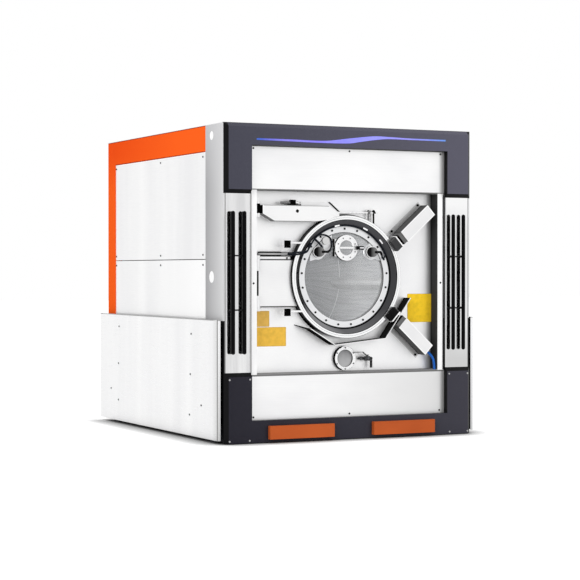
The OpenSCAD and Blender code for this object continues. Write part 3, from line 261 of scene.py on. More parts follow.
def mottled(name, roughness, size, detail, dull, bright, rough, gloss=0.12, metallic=0.0, stretch=(1, 1, 1),
            reach=None):
    material, tree, shader = new_finish(name, roughness, metallic, gloss)
    skin = cloud(tree, place_of(tree), size, detail, stretch)
    share = spread(tree, skin, *reach) if reach else skin
    tree.links.new(between(tree, share, tint(*dull), tint(*bright)), shader.inputs["Base Color"])
    tree.links.new(spread(tree, skin, 0.3, 0.7, *rough), shader.inputs["Roughness"])
    return material


coat_rough = (0.38, 0.52)
pillar_coat, tree, shader = new_finish("pillar_coat", 0.45)
where = place_of(tree)
coat = between(tree, fade("y", 0, 335)(tree, where), tint(213, 213, 214), tint(162, 162, 164))
coat = between(tree, fade("z", 1900, 2700)(tree, where), coat, tint(208, 208, 210))
coat = between(tree, zone(z=(0, 921))(tree, where), coat, tint(10, 10, 12))
tree.links.new(coat, shader.inputs["Base Color"])
dimpled(tree, shader, where, 0.003, coat_rough)
dress(pillar_coat, "front_pillars")
dress(mottled("plug_plastic", 0.38, 0.01, 4.0, (250, 250, 250), (255, 255, 255), (0.3, 0.46)), "pillar_caps")

# Painted frame: pressed steel channels in bright orange powder coat along the top and the rear of each side.
# The coat has painted shade towards the upper rear corner, and dark lines are painted along its lower and upper
# edges.
orange_coat, tree, shader = new_finish("orange_coat", 0.45, gloss=0.0)
where = place_of(tree)
corner = fade("y", 900, 2300, fade("z", 2000, 2300))(tree, where)
coat = between(tree, corner, tint(255, 100, 34), tint(246, 84, 28))
for edge in (zone(z=(2197, 2203), y=(338, 2272)), zone(z=(2391, 2398))):
    coat = between(tree, edge(tree, where), coat, tint(150, 46, 16))
tree.links.new(coat, shader.inputs["Base Color"])
dimpled(tree, shader, where, 0.003, coat_rough)
dress(orange_coat, "painted_frame")


# Cladding: cold-rolled stainless sheets on the sides, the rear and the roof, with painted highlights on the
# side edges.
# The rolling grain runs along the sheet, with broad upright bands where the light falls on it.
def stainless(name, bright, dull, grain=(1, 1, 1), roughness=0.3, depth=0.00008, metallic=0.75,
              bands=(1, 1, 1), marks=()):
    material, tree, shader = new_finish(name, roughness, metallic, 0.0)
    where = place_of(tree)
    lines = cloud(tree, where, 1.0, 5.0, grain)
    wiped = cloud(tree, where, 0.35, 2.0, bands)
    tone = sum_up(tree, "MULTIPLY_ADD", lines, 0.35, sum_up(tree, "MULTIPLY", wiped, 0.65))
    colour = between(tree, spread(tree, tone, 0.36, 0.64), tint(dull, dull, dull + 1),
                     tint(bright, bright, bright))
    metal = None
    darkest_metal = 150
    for mark, area in marks:
        mask = area(tree, where)
        colour = between(tree, mask, colour, tint(mark, mark, mark))
        if mark < darkest_metal:
            kept = sum_up(tree, "MULTIPLY_ADD", mask, -metallic, metallic)
            metal = sum_up(tree, "MINIMUM", metal, kept) if metal else kept
    if metal:
        tree.links.new(metal, shader.inputs["Metallic"])
    tree.links.new(colour, shader.inputs["Base Color"])
    tree.links.new(spread(tree, lines, 0.3, 0.7, roughness - 0.06, roughness + 0.1), shader.inputs["Roughness"])
    relief(tree, shader, lines, depth, 0.3)
    return material


# Painted highlights on the side sheets' edges, and painted light on the lower side sheet towards the front.
side_painted_highlights = [(255, zone(y=(335, 343))), (255, zone(z=(2189, 2197))), (255, zone(y=(2267, 2275))),
              (255, fade("y", 1500, 500, zone(z=(928, 1379))))]
dress(stainless("side_steel", 253, 241, (9, 9, 400), 0.34, bands=(1, 1.1, 0.12), marks=side_painted_highlights),
      "side_panels")
dress(stainless("skin_steel", 246, 234, (9, 9, 400), 0.34), "roof_panel", "rear_panels")

# Guards: stainless sheets with a folded lip that stand off the lower sides on distance tubes.
# The folds carry painted grey lines of shade, and the inner faces are painted black as full shade.
# The lip is painted darker towards the bottom, and the sheet by it towards the front, as painted shade.
guard_painted_shade = [(200, zone(y=(2527, 2541))), (176, zone(z=(921, 929))),
               (226, fade("y", 110, 30, zone(y=(24, 110)))), (188, zone(y=(14, 25))),
               (205, fade("z", 800, 60, zone(y=(10, 14)))), (10, zone(aside=(1000, 1113), y=(15.3, 2536.7)))]
dress(stainless("guard_steel", 255, 243, (500, 7, 500), 0.32, bands=(1, 1.3, 0.1), marks=guard_painted_shade),
      "side_guards")


# Bezels: moulded and folded covers in a fine metallic graphite, lighter above and darker below.
# Small flakes give the lacquer a soft shimmer, and painted light makes it lighter towards the right.
def graphite_lacquer(name, left, right):
    material, tree, shader = new_finish(name, 0.4, 0.1)
    where = place_of(tree)
    sparkle = wire(tree, "ShaderNodeTexVoronoi", {"Vector": where, "Scale": 900}).outputs["Color"]
    glint = spread(tree, wire(tree, "ShaderNodeSeparateColor", {0: sparkle}).outputs[0], 0.75, 1.0, 0, 0.3)
    lacquer = between(tree, spread(tree, along(tree, where, "x"), -1.07, 1.07), tint(*left), tint(*right))
    lacquer = between(tree, glint, lacquer, tint(*(c + 34 for c in right)))
    # The bevels behind the front face are painted black as painted shade.
    front = sum_up(tree, "MAXIMUM", zone(y=(-32, -29.6))(tree, where),
                   zone(aside=(0, 1040), z=(2366, 2397))(tree, where))
    tree.links.new(between(tree, front, tint(10, 10, 12), lacquer), shader.inputs["Base Color"])
    dimpled(tree, shader, where, 0.004, (0.34, 0.48), strength=0.25)
    return material


dress(graphite_lacquer("upper_lacquer", (64, 64, 75), (86, 85, 98)), "upper_bezel")
dress(graphite_lacquer("lower_lacquer", (32, 31, 40), (60, 59, 68)), "lower_bezel")


# Band stripe: one plain stripe of blue film along the top band, which steps up in a long slow curve.
# It is cut from foil less than a millimetre thick, pale in the middle and bluer at its two ends.
def spot(x, y, z):
    return Vector((x, y - front_to_origin, z)) / 1000


def make_piece(bm, name, body, material, crease=32):
    mesh = bpy.data.meshes.new(name)
    bm.to_mesh(mesh)
    bm.free()
    mesh.materials.append(material)
    mesh.polygons.foreach_set("use_smooth", [True] * len(mesh.polygons))
    mesh.set_sharp_from_angle(angle=math.radians(crease))
    made = bpy.data.objects.new(name, mesh)
    bpy.context.scene.collection.objects.link(made)
    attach(made, body)
    return made


def read_off(line, x):
    for k, ((x0, z0), (x1, z1)) in enumerate(zip(line, line[1:])):
        if x <= x1:
            before, after = line[max(k - 1, 0)], line[min(k + 2, len(line) - 1)]
            rise0 = (z1 - before[1]) / (x1 - before[0]) * (x1 - x0)
            rise1 = (after[1] - z0) / (after[0] - x0) * (x1 - x0)
            t = (x - x0) / (x1 - x0)
            return ((2 * t ** 3 - 3 * t * t + 1) * z0 + (t ** 3 - 2 * t * t + t) * rise0
                    + (3 * t * t - 2 * t ** 3) * z1 + (t ** 3 - t * t) * rise1)
    return line[-1][1]


stripe_top = [(-811, 2286), (-518, 2285), (-234, 2284), (-22, 2309), (191, 2332), (321, 2331), (517, 2326),
              (830, 2325)]
stripe_bottom = [(-811, 2273), (-518, 2270), (-234, 2267), (-22, 2271), (63, 2284), (191, 2303), (321, 2315),
                 (517, 2314), (830, 2313)]
stripe_left, stripe_right = stripe_top[0][0], stripe_top[-1][0]
bezel_front, film_thick = -30, 0.0008
bm = bmesh.new()
bmesh.ops.create_grid(bm, x_segments=96, y_segments=2, size=1)
for v in bm.verts:
    x = stripe_left + (v.co.x + 1) / 2 * (stripe_right - stripe_left)
    low, high = read_off(stripe_bottom, x), read_off(stripe_top, x)
    v.co = spot(x, bezel_front, low + (v.co.y + 1) / 2 * (high - low))
pushed = bmesh.ops.extrude_face_region(bm, geom=bm.faces[:])
bmesh.ops.translate(bm, vec=(0, -film_thick, 0),
                    verts=[v for v in pushed["geom"] if isinstance(v, bmesh.types.BMVert)])
bmesh.ops.recalc_face_normals(bm, faces=bm.faces[:])
stripe_film, tree, shader = new_finish("stripe_film", 0.4)
where = place_of(tree)
ramp = wire(tree, "ShaderNodeValToRGB", {0: fade("x", stripe_left, stripe_right)(tree, where)})
ramp.color_ramp.elements[0].color = tint(52, 96, 190)
ramp.color_ramp.elements[1].color = tint(96, 148, 226)
for stop, colour in ((0.05, (90, 100, 208)), (0.14, (134, 128, 232)), (0.3, (138, 128, 246)),
                     (0.48, (142, 142, 250)), (0.66, (150, 150, 250)), (0.78, (152, 148, 244)),
                     (0.93, (122, 142, 234))):
    ramp.color_ramp.elements.new(stop).color = tint(*colour)
haze_and_painted_light = cloud(tree, where, 0.05, 3.0)
tree.links.new(between(tree, spread(tree, haze_and_painted_light, 0.4, 0.8, 0, 0.2), ramp.outputs[0], tint(182, 182, 250)),
               shader.inputs["Base Color"])
tree.links.new(spread(tree, haze_and_painted_light, 0.3, 0.7, 0.34, 0.46), shader.inputs["Roughness"])
make_piece(bm, "band_stripe", "cabinet", stripe_film)

# Plinth blocks: two bare moulded blocks on the lower bezel in a duller orange, with chamfered edges.
# Their faces are left plain, and the lacquer has a fine spray texture.
dress(sprayed_paint("block_lacquer", tint(194, 92, 42), tint(182, 84, 38), 0.42, 0.003), "plinth_blocks")

# Columns: mirror-polished sheets that mirror the two black tubes in front of them.
# The tubes are lacquered steel with round ends, on thin dark straps and stand-offs.
# The right column has painted light at the top and painted shade at the bottom, and its edges painted
# highlights and shade.
right_field = zone(x=(855, 1052))
column_painted_light_and_shade = [(84, zone(x=(848, 850.5), y=(1, 20.5))), (255, zone(aside=(849, 855), y=(-0.5, 0.5))),
                (248, fade("z", 1600, 1820, right_field)), (208, fade("z", 900, 600, right_field)),
                (150, zone(aside=(1052, 1064)))]
# Painted lines of shade run between the left tubes and their reflections.
column_painted_light_and_shade += [(62, zone(x=(at - 6, at + 4), z=(672, 1738))) for at in (-1008, -915)]
dress(stainless("mirror_steel", 240, 216, (400, 400, 6), 0.1, 0.00003, 1.0, (5, 1, 0.25), column_painted_light_and_shade),
      "column_panels")
dress(mottled("tube_lacquer", 0.22, 1.0, 3.0, (5, 5, 6), (12, 12, 14), (0.16, 0.3), 0.04, stretch=(60, 60, 5)),
      "column_bars")
dress(sprayed_paint("bracket_paint", tint(24, 24, 26), tint(16, 16, 18), 0.4), "bar_brackets")

# Front panels, and the folded frame that lines the recess: stainless sheet with a soft satin grain.
# The sheets are painted darker towards the right bezel and along their edges, as painted shade.
lower_sheet, upper_sheet = zone(z=(160, 500)), zone(z=(1911, 2300))
panel_painted_shade = [(118, zone(z=(1903, 1911))), (116, zone(z=(500, 512.5))),
               (226, fade("x", -300, 800, lower_sheet)), (96, fade("x", 796, 862, upper_sheet)),
               (110, fade("x", 806, 870, lower_sheet)), (120, zone(z=(2229, 2237)))]
dress(stainless("panel_steel", 253, 243, (7, 500, 500), 0.36, bands=(0.6, 1, 1.5), marks=panel_painted_shade),
      "front_panels")
# The frame's walls and ledges are painted black and grey as shade, and its right strip has a painted highlight.
recess_painted_light_and_shade = [(60, zone(x=(700, 788.5), y=(21, 120))), (70, zone(x=(788.6, 792), y=(23.5, 120))),
                (120, zone(z=(1896, 1915), y=(21, 120))), (150, zone(z=(500, 519), y=(21, 120))),
                (255, zone(x=(792, 836), y=(19, 21))), (206, zone(x=(787, 791), y=(19, 21))),
                (214, zone(x=(837, 842), y=(19, 21)))]
dress(stainless("recess_steel", 252, 243, (200, 200, 9), 0.34, metallic=0.1, bands=(1, 1, 0.3),
                marks=recess_painted_light_and_shade), "recess_frame")


# Recess beads: two thin dark rubber beads between the columns and the recess frame, standing for the line of
# shade there.
# Each is a moulded strip with rounded edges, pressed into the corner.
def round_off(bm, edges, by, steps):
    bmesh.ops.bevel(bm, geom=edges, offset=by, offset_type="OFFSET", affect="EDGES", segments=steps,
                    profile=0.5, material=-1)


def plain_box(bm, low, high, round_by=0.0):
    verts = bmesh.ops.create_cube(bm, size=1)["verts"]
    bmesh.ops.scale(bm, vec=Vector(high) - Vector(low), verts=verts)
    bmesh.ops.translate(bm, vec=(Vector(high) + Vector(low)) / 2, verts=verts)
    if round_by:
        round_off(bm, list({e for v in verts for e in v.link_edges}), round_by, 2)


shade_bead_rubber = mottled("shade_bead_rubber", 0.5, 0.03, 4.0, (52, 52, 54), (84, 84, 86), (0.42, 0.6))
bm = bmesh.new()
for x0, x1 in ((-840, -833), (833, 840)):
    plain_box(bm, spot(x0, 17.2, 516), spot(x1, 19.9, 1899), 0.0012)
make_piece(bm, "recess_shade_beads", "cabinet", shade_bead_rubber)

# Recessed plate: one bright sheet that carries the door, with a wiped satin finish.
# It is painted black towards the right wall and around the left of the door, as painted shade.
behind_door = zone((12, 1244, 0), r=(0, 489))
# Painted lines of shade run along the plate's lower edge and above the upper arm.
plate_painted_shade = [(34, fade("x", 734, 784)), (168, zone(z=(515, 521))),
               (178, zone(x=(-382, -169), z=(1813, 1822))),
               (6, fade("x", 240, 0, behind_door, fade("z", 780, 850)))]
dress(stainless("plate_steel", 255, 246, (150, 150, 150), 0.4, metallic=0.85, marks=plate_painted_shade), "front_plate")

# Screw heads all over the cabinet in black oxide, with bright ones on the bezels.
# The guards' distance tubes behind their screws are turned from grey bar.
screw_oxide, tree, shader = new_finish("screw_oxide", 0.42, 0.1, 0.04)
where = place_of(tree)
fleck = cloud(tree, where, 0.002, 2.0)
oxide = between(tree, spread(tree, fleck, 0.45, 0.75), tint(10, 10, 11), tint(30, 30, 32))
for mark, area in ((172, zone(y=(-34, -30.2))), (92, zone(aside=(1070.5, 1112.4)))):
    oxide = between(tree, area(tree, where), oxide, tint(mark, mark, mark))
tree.links.new(oxide, shader.inputs["Base Color"])
tree.links.new(spread(tree, fleck, 0.3, 0.7, 0.34, 0.5), shader.inputs["Roughness"])
dress(screw_oxide, "cabinet_screws", "door_screws")


# Blank plates: three thin yellow enamel plates on the recessed plate, left bare.
# Each is cut from tin with round corners and has a fine darker line along its edge.
# The right one has one corner cut off beside the clamp.
def blank_plate(name, x0, x1, z0, z1, colour, corner_cut=0.0):
    tin_front, tin_back, corner = 111.0, 111.9, 0.005
    bm = bmesh.new()
    plain_box(bm, spot(x0, tin_front, z0), spot(x1, tin_back, z1))
    uprights = [e for e in bm.edges if abs(e.verts[0].co.y - e.verts[1].co.y) > (tin_back - tin_front) / 2000]
    cut = [e for e in uprights if e.verts[0].co.x < (x0 + x1) / 2000 and e.verts[0].co.z < (z0 + z1) / 2000]
    if corner_cut:
        round_off(bm, cut, corner_cut, 1)
        uprights = [e for e in uprights if e.is_valid and e not in cut]
    round_off(bm, uprights, corner, 4)
    material, tree, shader = new_finish(name + "_enamel", 0.4)
    where = place_of(tree)
    lines = []
    for axis, low, high in (("x", x0, x1), ("z", z0, z1)):
        off = sum_up(tree, "SUBTRACT", along(tree, where, axis), (low + high) / 2000)
        reach = (high - low) / 2000
        lines.append(spread(tree, sum_up(tree, "ABSOLUTE", off), reach - 0.004, reach - 0.003, 0, 0.35))
    film = cloud(tree, where, 0.03, 3.0)
    pale = tuple(0.86 * c for c in colour[:3]) + (1.0,)
    enamel = between(tree, spread(tree, film, 0.4, 0.7), colour, pale)
    tree.links.new(between(tree, sum_up(tree, "MAXIMUM", *lines), enamel, tint(120, 96, 40)),
                   shader.inputs["Base Color"])
    tree.links.new(spread(tree, film, 0.3, 0.7, 0.34, 0.48), shader.inputs["Roughness"])
    make_piece(bm, name, "cabinet", material)


blank_plate("blank_plate_small", -746, -640, 870, 990, tint(222, 178, 88))
blank_plate("blank_plate_wide", -746, -499, 720, 866, tint(236, 188, 74))
blank_plate("blank_plate_right", 566, 784, 888, 1113, tint(252, 208, 44), 0.03)

# Outer tub with its front ring, and the cast housing with two bearings behind it.
# The tub is welded stainless, left dull, and the casting is painted dark grey.
# The drum and the door share the tub's level axis.
axis_z = 1248


def ring(inner, outer, **more):
    return zone((0, axis_z, 0), r=(inner, outer), **more)


dress(stainless("tub_steel", 188, 160, (30, 300, 30), 0.4, marks=[(16, ring(338, 342))]),
      "outer_tub", "tub_ring", "door_backing", "pipe_stubs")
dress(sprayed_paint("cast_paint", tint(84, 87, 92), tint(70, 73, 78), 0.55, 0.008),
      "bearing_housing", "drum_pulley", "motor_pulley")
dress(stainless("ground_steel", 208, 178, (40, 900, 40), 0.22), "bearings", "drum_shaft", "hinge_pins")
dress(sprayed_paint("motor_enamel", tint(62, 68, 78), tint(50, 56, 66), 0.45, 0.006), "motor")
belt_cloth, tree, shader = new_finish("belt_cloth", 0.7)
weave = wire(tree, "ShaderNodeTexWave",
             {"Vector": place_of(tree), "Scale": 180, "Distortion": 0.4}).outputs["Fac"]
tree.links.new(between(tree, weave, tint(20, 20, 21), tint(34, 34, 35)), shader.inputs["Base Color"])
relief(tree, shader, weave, 0.0006)
dress(belt_cloth, "drive_belts")

# Drum: perforated stainless shell with folded lifters, which spins with its shaft and pulley.
# The punched holes run in rows round the shell and over the back wall, and fine scratches run along it.
drum_steel, tree, shader = new_finish("drum_steel", 0.5, 0.15)
where = place_of(tree)
drum_radius, drum_back = 0.7, 0.263
aside, deep, high_up = (along(tree, where, axis) for axis in "xyz")
up = sum_up(tree, "SUBTRACT", high_up, axis_z / 1000)
arc = sum_up(tree, "MULTIPLY", sum_up(tree, "ARCTAN2", up, aside), drum_radius)
on_shell = wire(tree, "ShaderNodeCombineXYZ", {0: arc, 1: deep}).outputs[0]
on_back = wire(tree, "ShaderNodeCombineXYZ", {0: aside, 1: up}).outputs[0]
is_back = spread(tree, deep, drum_back - 0.001, drum_back + 0.001)
hole_place = wire(tree, "ShaderNodeMix", {0: is_back, 4: on_shell, 5: on_back}, data_type="VECTOR").outputs[1]
holes = wire(tree, "ShaderNodeTexVoronoi", {"Vector": hole_place, "Scale": 90, "Randomness": 0.0},
             voronoi_dimensions="2D").outputs["Distance"]
hole = spread(tree, holes, 0.22, 0.3, 1, 0)
narrow = wire(tree, "ShaderNodeCombineXYZ", {0: sum_up(tree, "MULTIPLY", arc, 26), 1: deep}).outputs[0]
streaks = cloud(tree, narrow, 0.5, 4.0)
wall = between(tree, spread(tree, streaks, 0.35, 0.65), tint(150, 151, 154), tint(180, 181, 184))
# A painted highlight runs round the joint of the shell and the back wall.
seam_highlight = sum_up(tree, "MAXIMUM", ring(688, 696, y=(1490, 1513))(tree, where),
              ring(670, 696, y=(1484, 1499))(tree, where))
wall = between(tree, seam_highlight, wall, tint(226, 227, 229))
tree.links.new(between(tree, sum_up(tree, "MULTIPLY", hole, 0.4), wall, tint(96, 97, 100)),
               shader.inputs["Base Color"])
tree.links.new(spread(tree, streaks, 0.3, 0.7, 0.42, 0.56), shader.inputs["Roughness"])
relief(tree, shader, hole, 0.0008, 0.3)
dress(drum_steel, "drum")
lifters_at = (0, axis_z, 5)
# The lifters' crests carry painted highlights.
lifter_highlights = [(255, zone(lifters_at, z=(-17, 17))), (255, zone(lifters_at, x=(-17, 17)))]
dress(stainless("lifter_steel", 186, 160, (100, 5, 100), 0.3, metallic=0.1, marks=lifter_highlights), "lifters")
bay_data = bpy.data.lights.new("drum_light", "POINT")
bay_data.energy = 15
bay_data.shadow_soft_size = 0.25
drum_light = bpy.data.objects.new("drum_light", bay_data)
drum_light.location = spot(-60, 640, 1420)
bpy.context.scene.collection.objects.link(drum_light)

# Hinge and arms: box arm, channel arm and lugs in satin stainless, turning on ground pins.
# The arms' ends, sides and edges and the upper lugs are painted dark as shade, with a painted highlight on the
# channel's edge.
arm_painted_shade = [(50, zone(x=(-790, -743), y=(60, 111), z=(1017, 1383))),
             (56, zone(z=(1017, 1026), x=(-746, -400))),
             (70, zone(z=(1374, 1382.5), x=(-746, -400), y=(81, 84))),
             (120, zone(z=(1401, 1407))), (46, zone(z=(1382, 1383.5)))]
dress(stainless("arm_steel", 246, 236, (12, 300, 300), 0.34, marks=arm_painted_shade), "hinge_arm")
channel_painted_light_and_shade = [(134, zone(y=(25.5, 103.9))), (5, zone(x=(-790, -735.2))),
                 (170, zone(z=(1786, 1792), y=(23, 25))), (176, zone(z=(1668, 1674), y=(23, 25))),
                 (12, zone((-445, 1748, 0), r=(0, 13))), (255, zone(x=(-735.2, -727), y=(23, 25)))]
dress(stainless("channel_steel", 246, 238, (12, 300, 300), 0.34, marks=channel_painted_light_and_shade), "upper_arm")
lug_painted_shade = [(5, zone(z=(1729, 1800))), (54, zone(z=(1018, 1382), y=(60, 111)))]
dress(stainless("lug_steel", 242, 232, (200, 200, 20), 0.35, marks=lug_painted_shade), "hinge_lugs")

# Fittings of the arms: tie bar with its bolts, hose joint, edge strip, buffers and the cable conduit.
# The bars and the joint's ring are bright drawn steel, and all the rest is black.
fitting_marks = [(8, zone(x=(-150, -30), z=(1736, 1830), y=(97, 105))), (8, zone(x=(235, 260))),
                 (118, zone(x=(188, 212))), (8, zone(x=(-510, -446.1))),
                 (8, zone(x=(-446, -400), z=(1790, 1801))), (120, zone(x=(-570, -490.1), z=(1800, 1830)))]
dress(stainless("fitting_steel", 250, 236, (30, 200, 200), 0.3, marks=fitting_marks), "arm_fittings")
buffer_marks = [(8, zone(x=(-560, -504.1), y=(-40, 33)))]
dress(stainless("buffer_steel", 250, 238, (30, 200, 200), 0.3, marks=buffer_marks), "stop_buffers")
# The conduit is painted light along its middle and black along its top and bottom, as painted light and shade.
conduit_painted_light_and_shade = [(14, zone(z=(1429, 1441), x=(-744, -558.1))), (14, zone(z=(1405, 1415.5), x=(-744, -558.1))),
                 (90, zone(z=(1432, 1440), x=(-558, -506))), (90, zone(z=(1406, 1413), x=(-558, -506)))]
dress(stainless("conduit_steel", 186, 130, (8, 200, 200), 0.4, marks=conduit_painted_light_and_shade), "arm_conduit")

# Door rim: a deep-drawn and polished dish of stainless, with a rubber seal behind it and another inside it.
# Painted reflections stand in for the mirror: the dish is painted dark for the seal, and the outer wall black
# for the shaded plate.
rim_steel, tree, shader = new_finish("rim_steel", 0.2, gloss=0.02)
where = place_of(tree)
axis_at = (0, 0, axis_z / 1000)
moved = wire(tree, "ShaderNodeVectorMath", {0: where, 1: axis_at}, operation="SUBTRACT").outputs[0]
turned = sum_up(tree, "MULTIPLY", from_axis(tree, moved), 700)
rings = wire(tree, "ShaderNodeCombineXYZ", {0: turned}).outputs[0]
spun = wire(tree, "ShaderNodeTexNoise", {"Vector": rings, "Scale": 1.0, "Detail": 3.0}).outputs["Fac"]
face = between(tree, spun, tint(240, 241, 242), tint(255, 255, 255))
face = between(tree, ring(454.5, 457.5)(tree, where), face, tint(196, 197, 199))
across, up = along(tree, moved, "x"), along(tree, moved, "z")
slant = sum_up(tree, "ADD", across, up)
shade = (14, 14, 16)
dish_tone = between(tree, spread(tree, up, 0.1, 0.4), tint(64, 64, 66), tint(84, 84, 87))
for run, first, last, tone in ((up, -0.25, -0.42, (98, 98, 100)), (slant, -0.44, -0.56, (134, 134, 136)),
                               (across, -0.3, -0.37, shade)):
    dish_tone = between(tree, spread(tree, run, first, last), dish_tone, tint(*tone))
dish_inner, dish_outer, rim_metal = 380, 442.8, 0.8
for line in (ring(dish_inner, 405), ring(438.5, dish_outer)):
    dish_tone = between(tree, line(tree, where), dish_tone, tint(*shade))
in_dish = ring(dish_inner, dish_outer)(tree, where)
outside = ring(473.4, 480)(tree, where)
toned = between(tree, in_dish, face, dish_tone)
tree.links.new(between(tree, outside, toned, tint(8, 8, 9)), shader.inputs["Base Color"])
plain = sum_up(tree, "MAXIMUM", in_dish, outside)
tree.links.new(sum_up(tree, "MULTIPLY_ADD", plain, -rim_metal, rim_metal), shader.inputs["Metallic"])
tree.links.new(spread(tree, spun, 0.3, 0.7, 0.14, 0.26), shader.inputs["Roughness"])
dress(rim_steel, "door_rim")
dress(mottled("seal_rubber", 0.55, 0.02, 4.0, (6, 6, 7), (16, 16, 18), (0.45, 0.65)), "door_seals")

# Window flange: laser-cut stainless ring with two ears, held by a circle of black screws over the glass.
# Its face is glass-bead blasted, which gives a fine even sparkle.
blasted, tree, shader = new_finish("blasted_steel", 0.45, 0.6)
where = place_of(tree)
bead = cloud(tree, where, 0.0022, 3.0)
wiped = cloud(tree, where, 0.12, 3.0)
beaded = between(tree, spread(tree, bead, 0.3, 0.7), tint(222, 223, 225), tint(246, 246, 247))
beaded = between(tree, spread(tree, wiped, 0.4, 0.7, 0, 0.3), beaded, tint(226, 227, 229))
cut_edge = ring(340, 345.6)(tree, where)
tree.links.new(between(tree, cut_edge, beaded, tint(18, 18, 19)), shader.inputs["Base Color"])
tree.links.new(spread(tree, bead, 0.3, 0.7, 0.38, 0.52), shader.inputs["Roughness"])
relief(tree, shader, bead, 0.0002, 0.3)
dress(blasted, "door_flange")

# Window, hatch and port glasses: thick toughened glass, faintly green and slightly smeared.
# The smears dull the gloss in soft patches, and a painted reflection makes the window brighter towards its
# right.
glass_pane, tree, shader = new_finish("glass_pane", 0.06, gloss=0.3)
shader.inputs["Alpha"].default_value = 0.2
shader.inputs["IOR"].default_value = 1.5
where = place_of(tree)
smear = cloud(tree, where, 0.16, 4.0)
haze_and_painted_light = between(tree, fade("x", -260, 120)(tree, where), tint(178, 179, 179), tint(252, 253, 253))
tree.links.new(between(tree, spread(tree, smear, 0.4, 0.7, 0, 0.3), haze_and_painted_light, tint(214, 217, 217)),
               shader.inputs["Base Color"])
tree.links.new(spread(tree, smear, 0.35, 0.7, 0.06, 0.18), shader.inputs["Roughness"])
dress(glass_pane, "window_glass", "hatch_glass")
# The port's glass is painted darker towards its top, as painted shade.
port_pane, tree, shader = new_finish("port_pane", 0.12, gloss=0.2)
shader.inputs["Alpha"].default_value = 0.85
where = place_of(tree)
smear = cloud(tree, where, 0.05, 4.0)
haze_and_painted_light = between(tree, fade("z", 560, 680)(tree, where), tint(200, 200, 201), tint(150, 150, 152))
tree.links.new(between(tree, spread(tree, smear, 0.4, 0.7, 0, 0.3), haze_and_painted_light, tint(190, 190, 191)),
               shader.inputs["Base Color"])
tree.links.new(spread(tree, smear, 0.35, 0.7, 0.1, 0.24), shader.inputs["Roughness"])
dress(port_pane, "sight_glass")

# Sampling hatch: a turned stainless ring with a grip bar on a bolted seat, held by a black wing latch.
# The bolts stand proud, the machined faces have a fine even grain, and the latch has a white inlay.
hatch_at = (8, 1472, 0)
# The ring's bore and outer wall are painted black as painted shade, and the grip bar's left end is painted
# black.
hatch_marks = [(12, zone(hatch_at, r=(40, 66), y=(86, 160))), (72, zone(y=(77.4, 78.6))),
               (12, zone(hatch_at, r=(97.5, 101), y=(83, 112))), (20, zone(x=(-115, -93)))]
dress(stainless("hatch_steel", 252, 236, (260, 260, 260), 0.32, marks=hatch_marks), "hatch_seat", "hatch_lid")
moulded_black, tree, shader = new_finish("moulded_black", 0.4, gloss=0.04)
where = place_of(tree)
grit = dimpled(tree, shader, where, 0.0015, (0.34, 0.48), 0.0002, 0.25)
grip = between(tree, grit, tint(10, 10, 11), tint(22, 22, 24))
inlay = zone(x=(112, 176), z=(1468, 1476.5))(tree, where)
tree.links.new(between(tree, inlay, grip, tint(238, 238, 240)), shader.inputs["Base Color"])
dress(moulded_black, "hatch_latch")

# Lamps: two round lamps on the flange's ears with black glands, and a small round sensor beside the left one.
# Their lenses are grey frosted glass in black shells, on bright turned rings.
# Each lens is painted black on its left and grey on its right, as painted shade.
lamp_marks = [(132, fade("x", at - 22, at + 26, zone(y=(59.4, 60.6), x=(at - 37, at + 37))))
              for at in (-232, 232)]
lamp_marks += [(250, zone(y=(91.4, 92.6))), (206, zone(x=(-200, -138), y=(85, 87), z=(1494, 1558)))]
dress(stainless("lamp_shell", 24, 14, (300, 300, 300), 0.4, metallic=0.0, marks=lamp_marks), "lamps")

# Clamps: air cylinders in folded stainless covers on bolted feet, with dark slide blocks and shoes.
# The covers are bright in front with painted highlights on their edges, and their flanks a painted reflection
# of the shaded recess.
upper_at, lower_at = (478, 1560, 41.5), (462, 888, -42.5)
cover_painted_light_and_shade = [(92, zone(y=(1.4, 96))), (18, zone(y=(96, 106.4))),
               (206, zone(upper_at, y=(106.5, 113), z=(50.5, 90))),
               (206, zone(lower_at, y=(106.5, 113), z=(-90, -50.5)))]
for at in (upper_at, lower_at):
    cover_painted_light_and_shade += [(255, zone(at, y=(-1, 1), z=(43, 51))), (255, zone(at, y=(-1, 1), z=(-51, -43))),
                    (255, zone(at, y=(-1, 1), x=(313, 323)))]
dress(stainless("cover_steel", 242, 232, (200, 200, 200), 0.34, marks=cover_painted_light_and_shade), "clamp_housings")


# The rams' shoes are painted dark as painted shade, and the lower one darker still down in the tray.
def ram_finish(name, at, shoe_shade, out):
    marks = [(104, zone(at, x=(-38.5, 10.5))), (10, zone(at, x=(-39, -32))),
             (84, zone(at, x=(-300, -out - 1), z=(44, 300))), (248, zone(at, x=(-out - 0.5, -out + 8.5)))]
    return stainless(name, shoe_shade + 8, shoe_shade - 6, (90, 300, 90), 0.4, metallic=0.1, marks=marks)


dress(ram_finish("upper_ram_steel", upper_at, 64, 57), "upper_ram")
dress(ram_finish("lower_ram_steel", lower_at, 18, 75), "lower_ram")

# Drip tray: one bent sheet of stainless below the door, open to the front.
# Its folded front edge catches the light, and the sheet behind it is in shade.
tray_marks = [(70, zone(x=(-140, 308), y=(12, 120))), (30, zone(x=(308, 600), y=(12, 120))),
              (24, zone(x=(-500, -140), y=(12, 120))), (255, zone(y=(3, 12)))]
dress(stainless("tray_steel", 252, 240, (9, 200, 200), 0.3, marks=tray_marks), "drip_tray")

# Sight port and sampling tap under the door: a bolted ring with its glass, and a small ball valve.
# The ring is turned stainless, and the valve is dark cast steel with brighter patches.
port_at = (0, 617, 0)
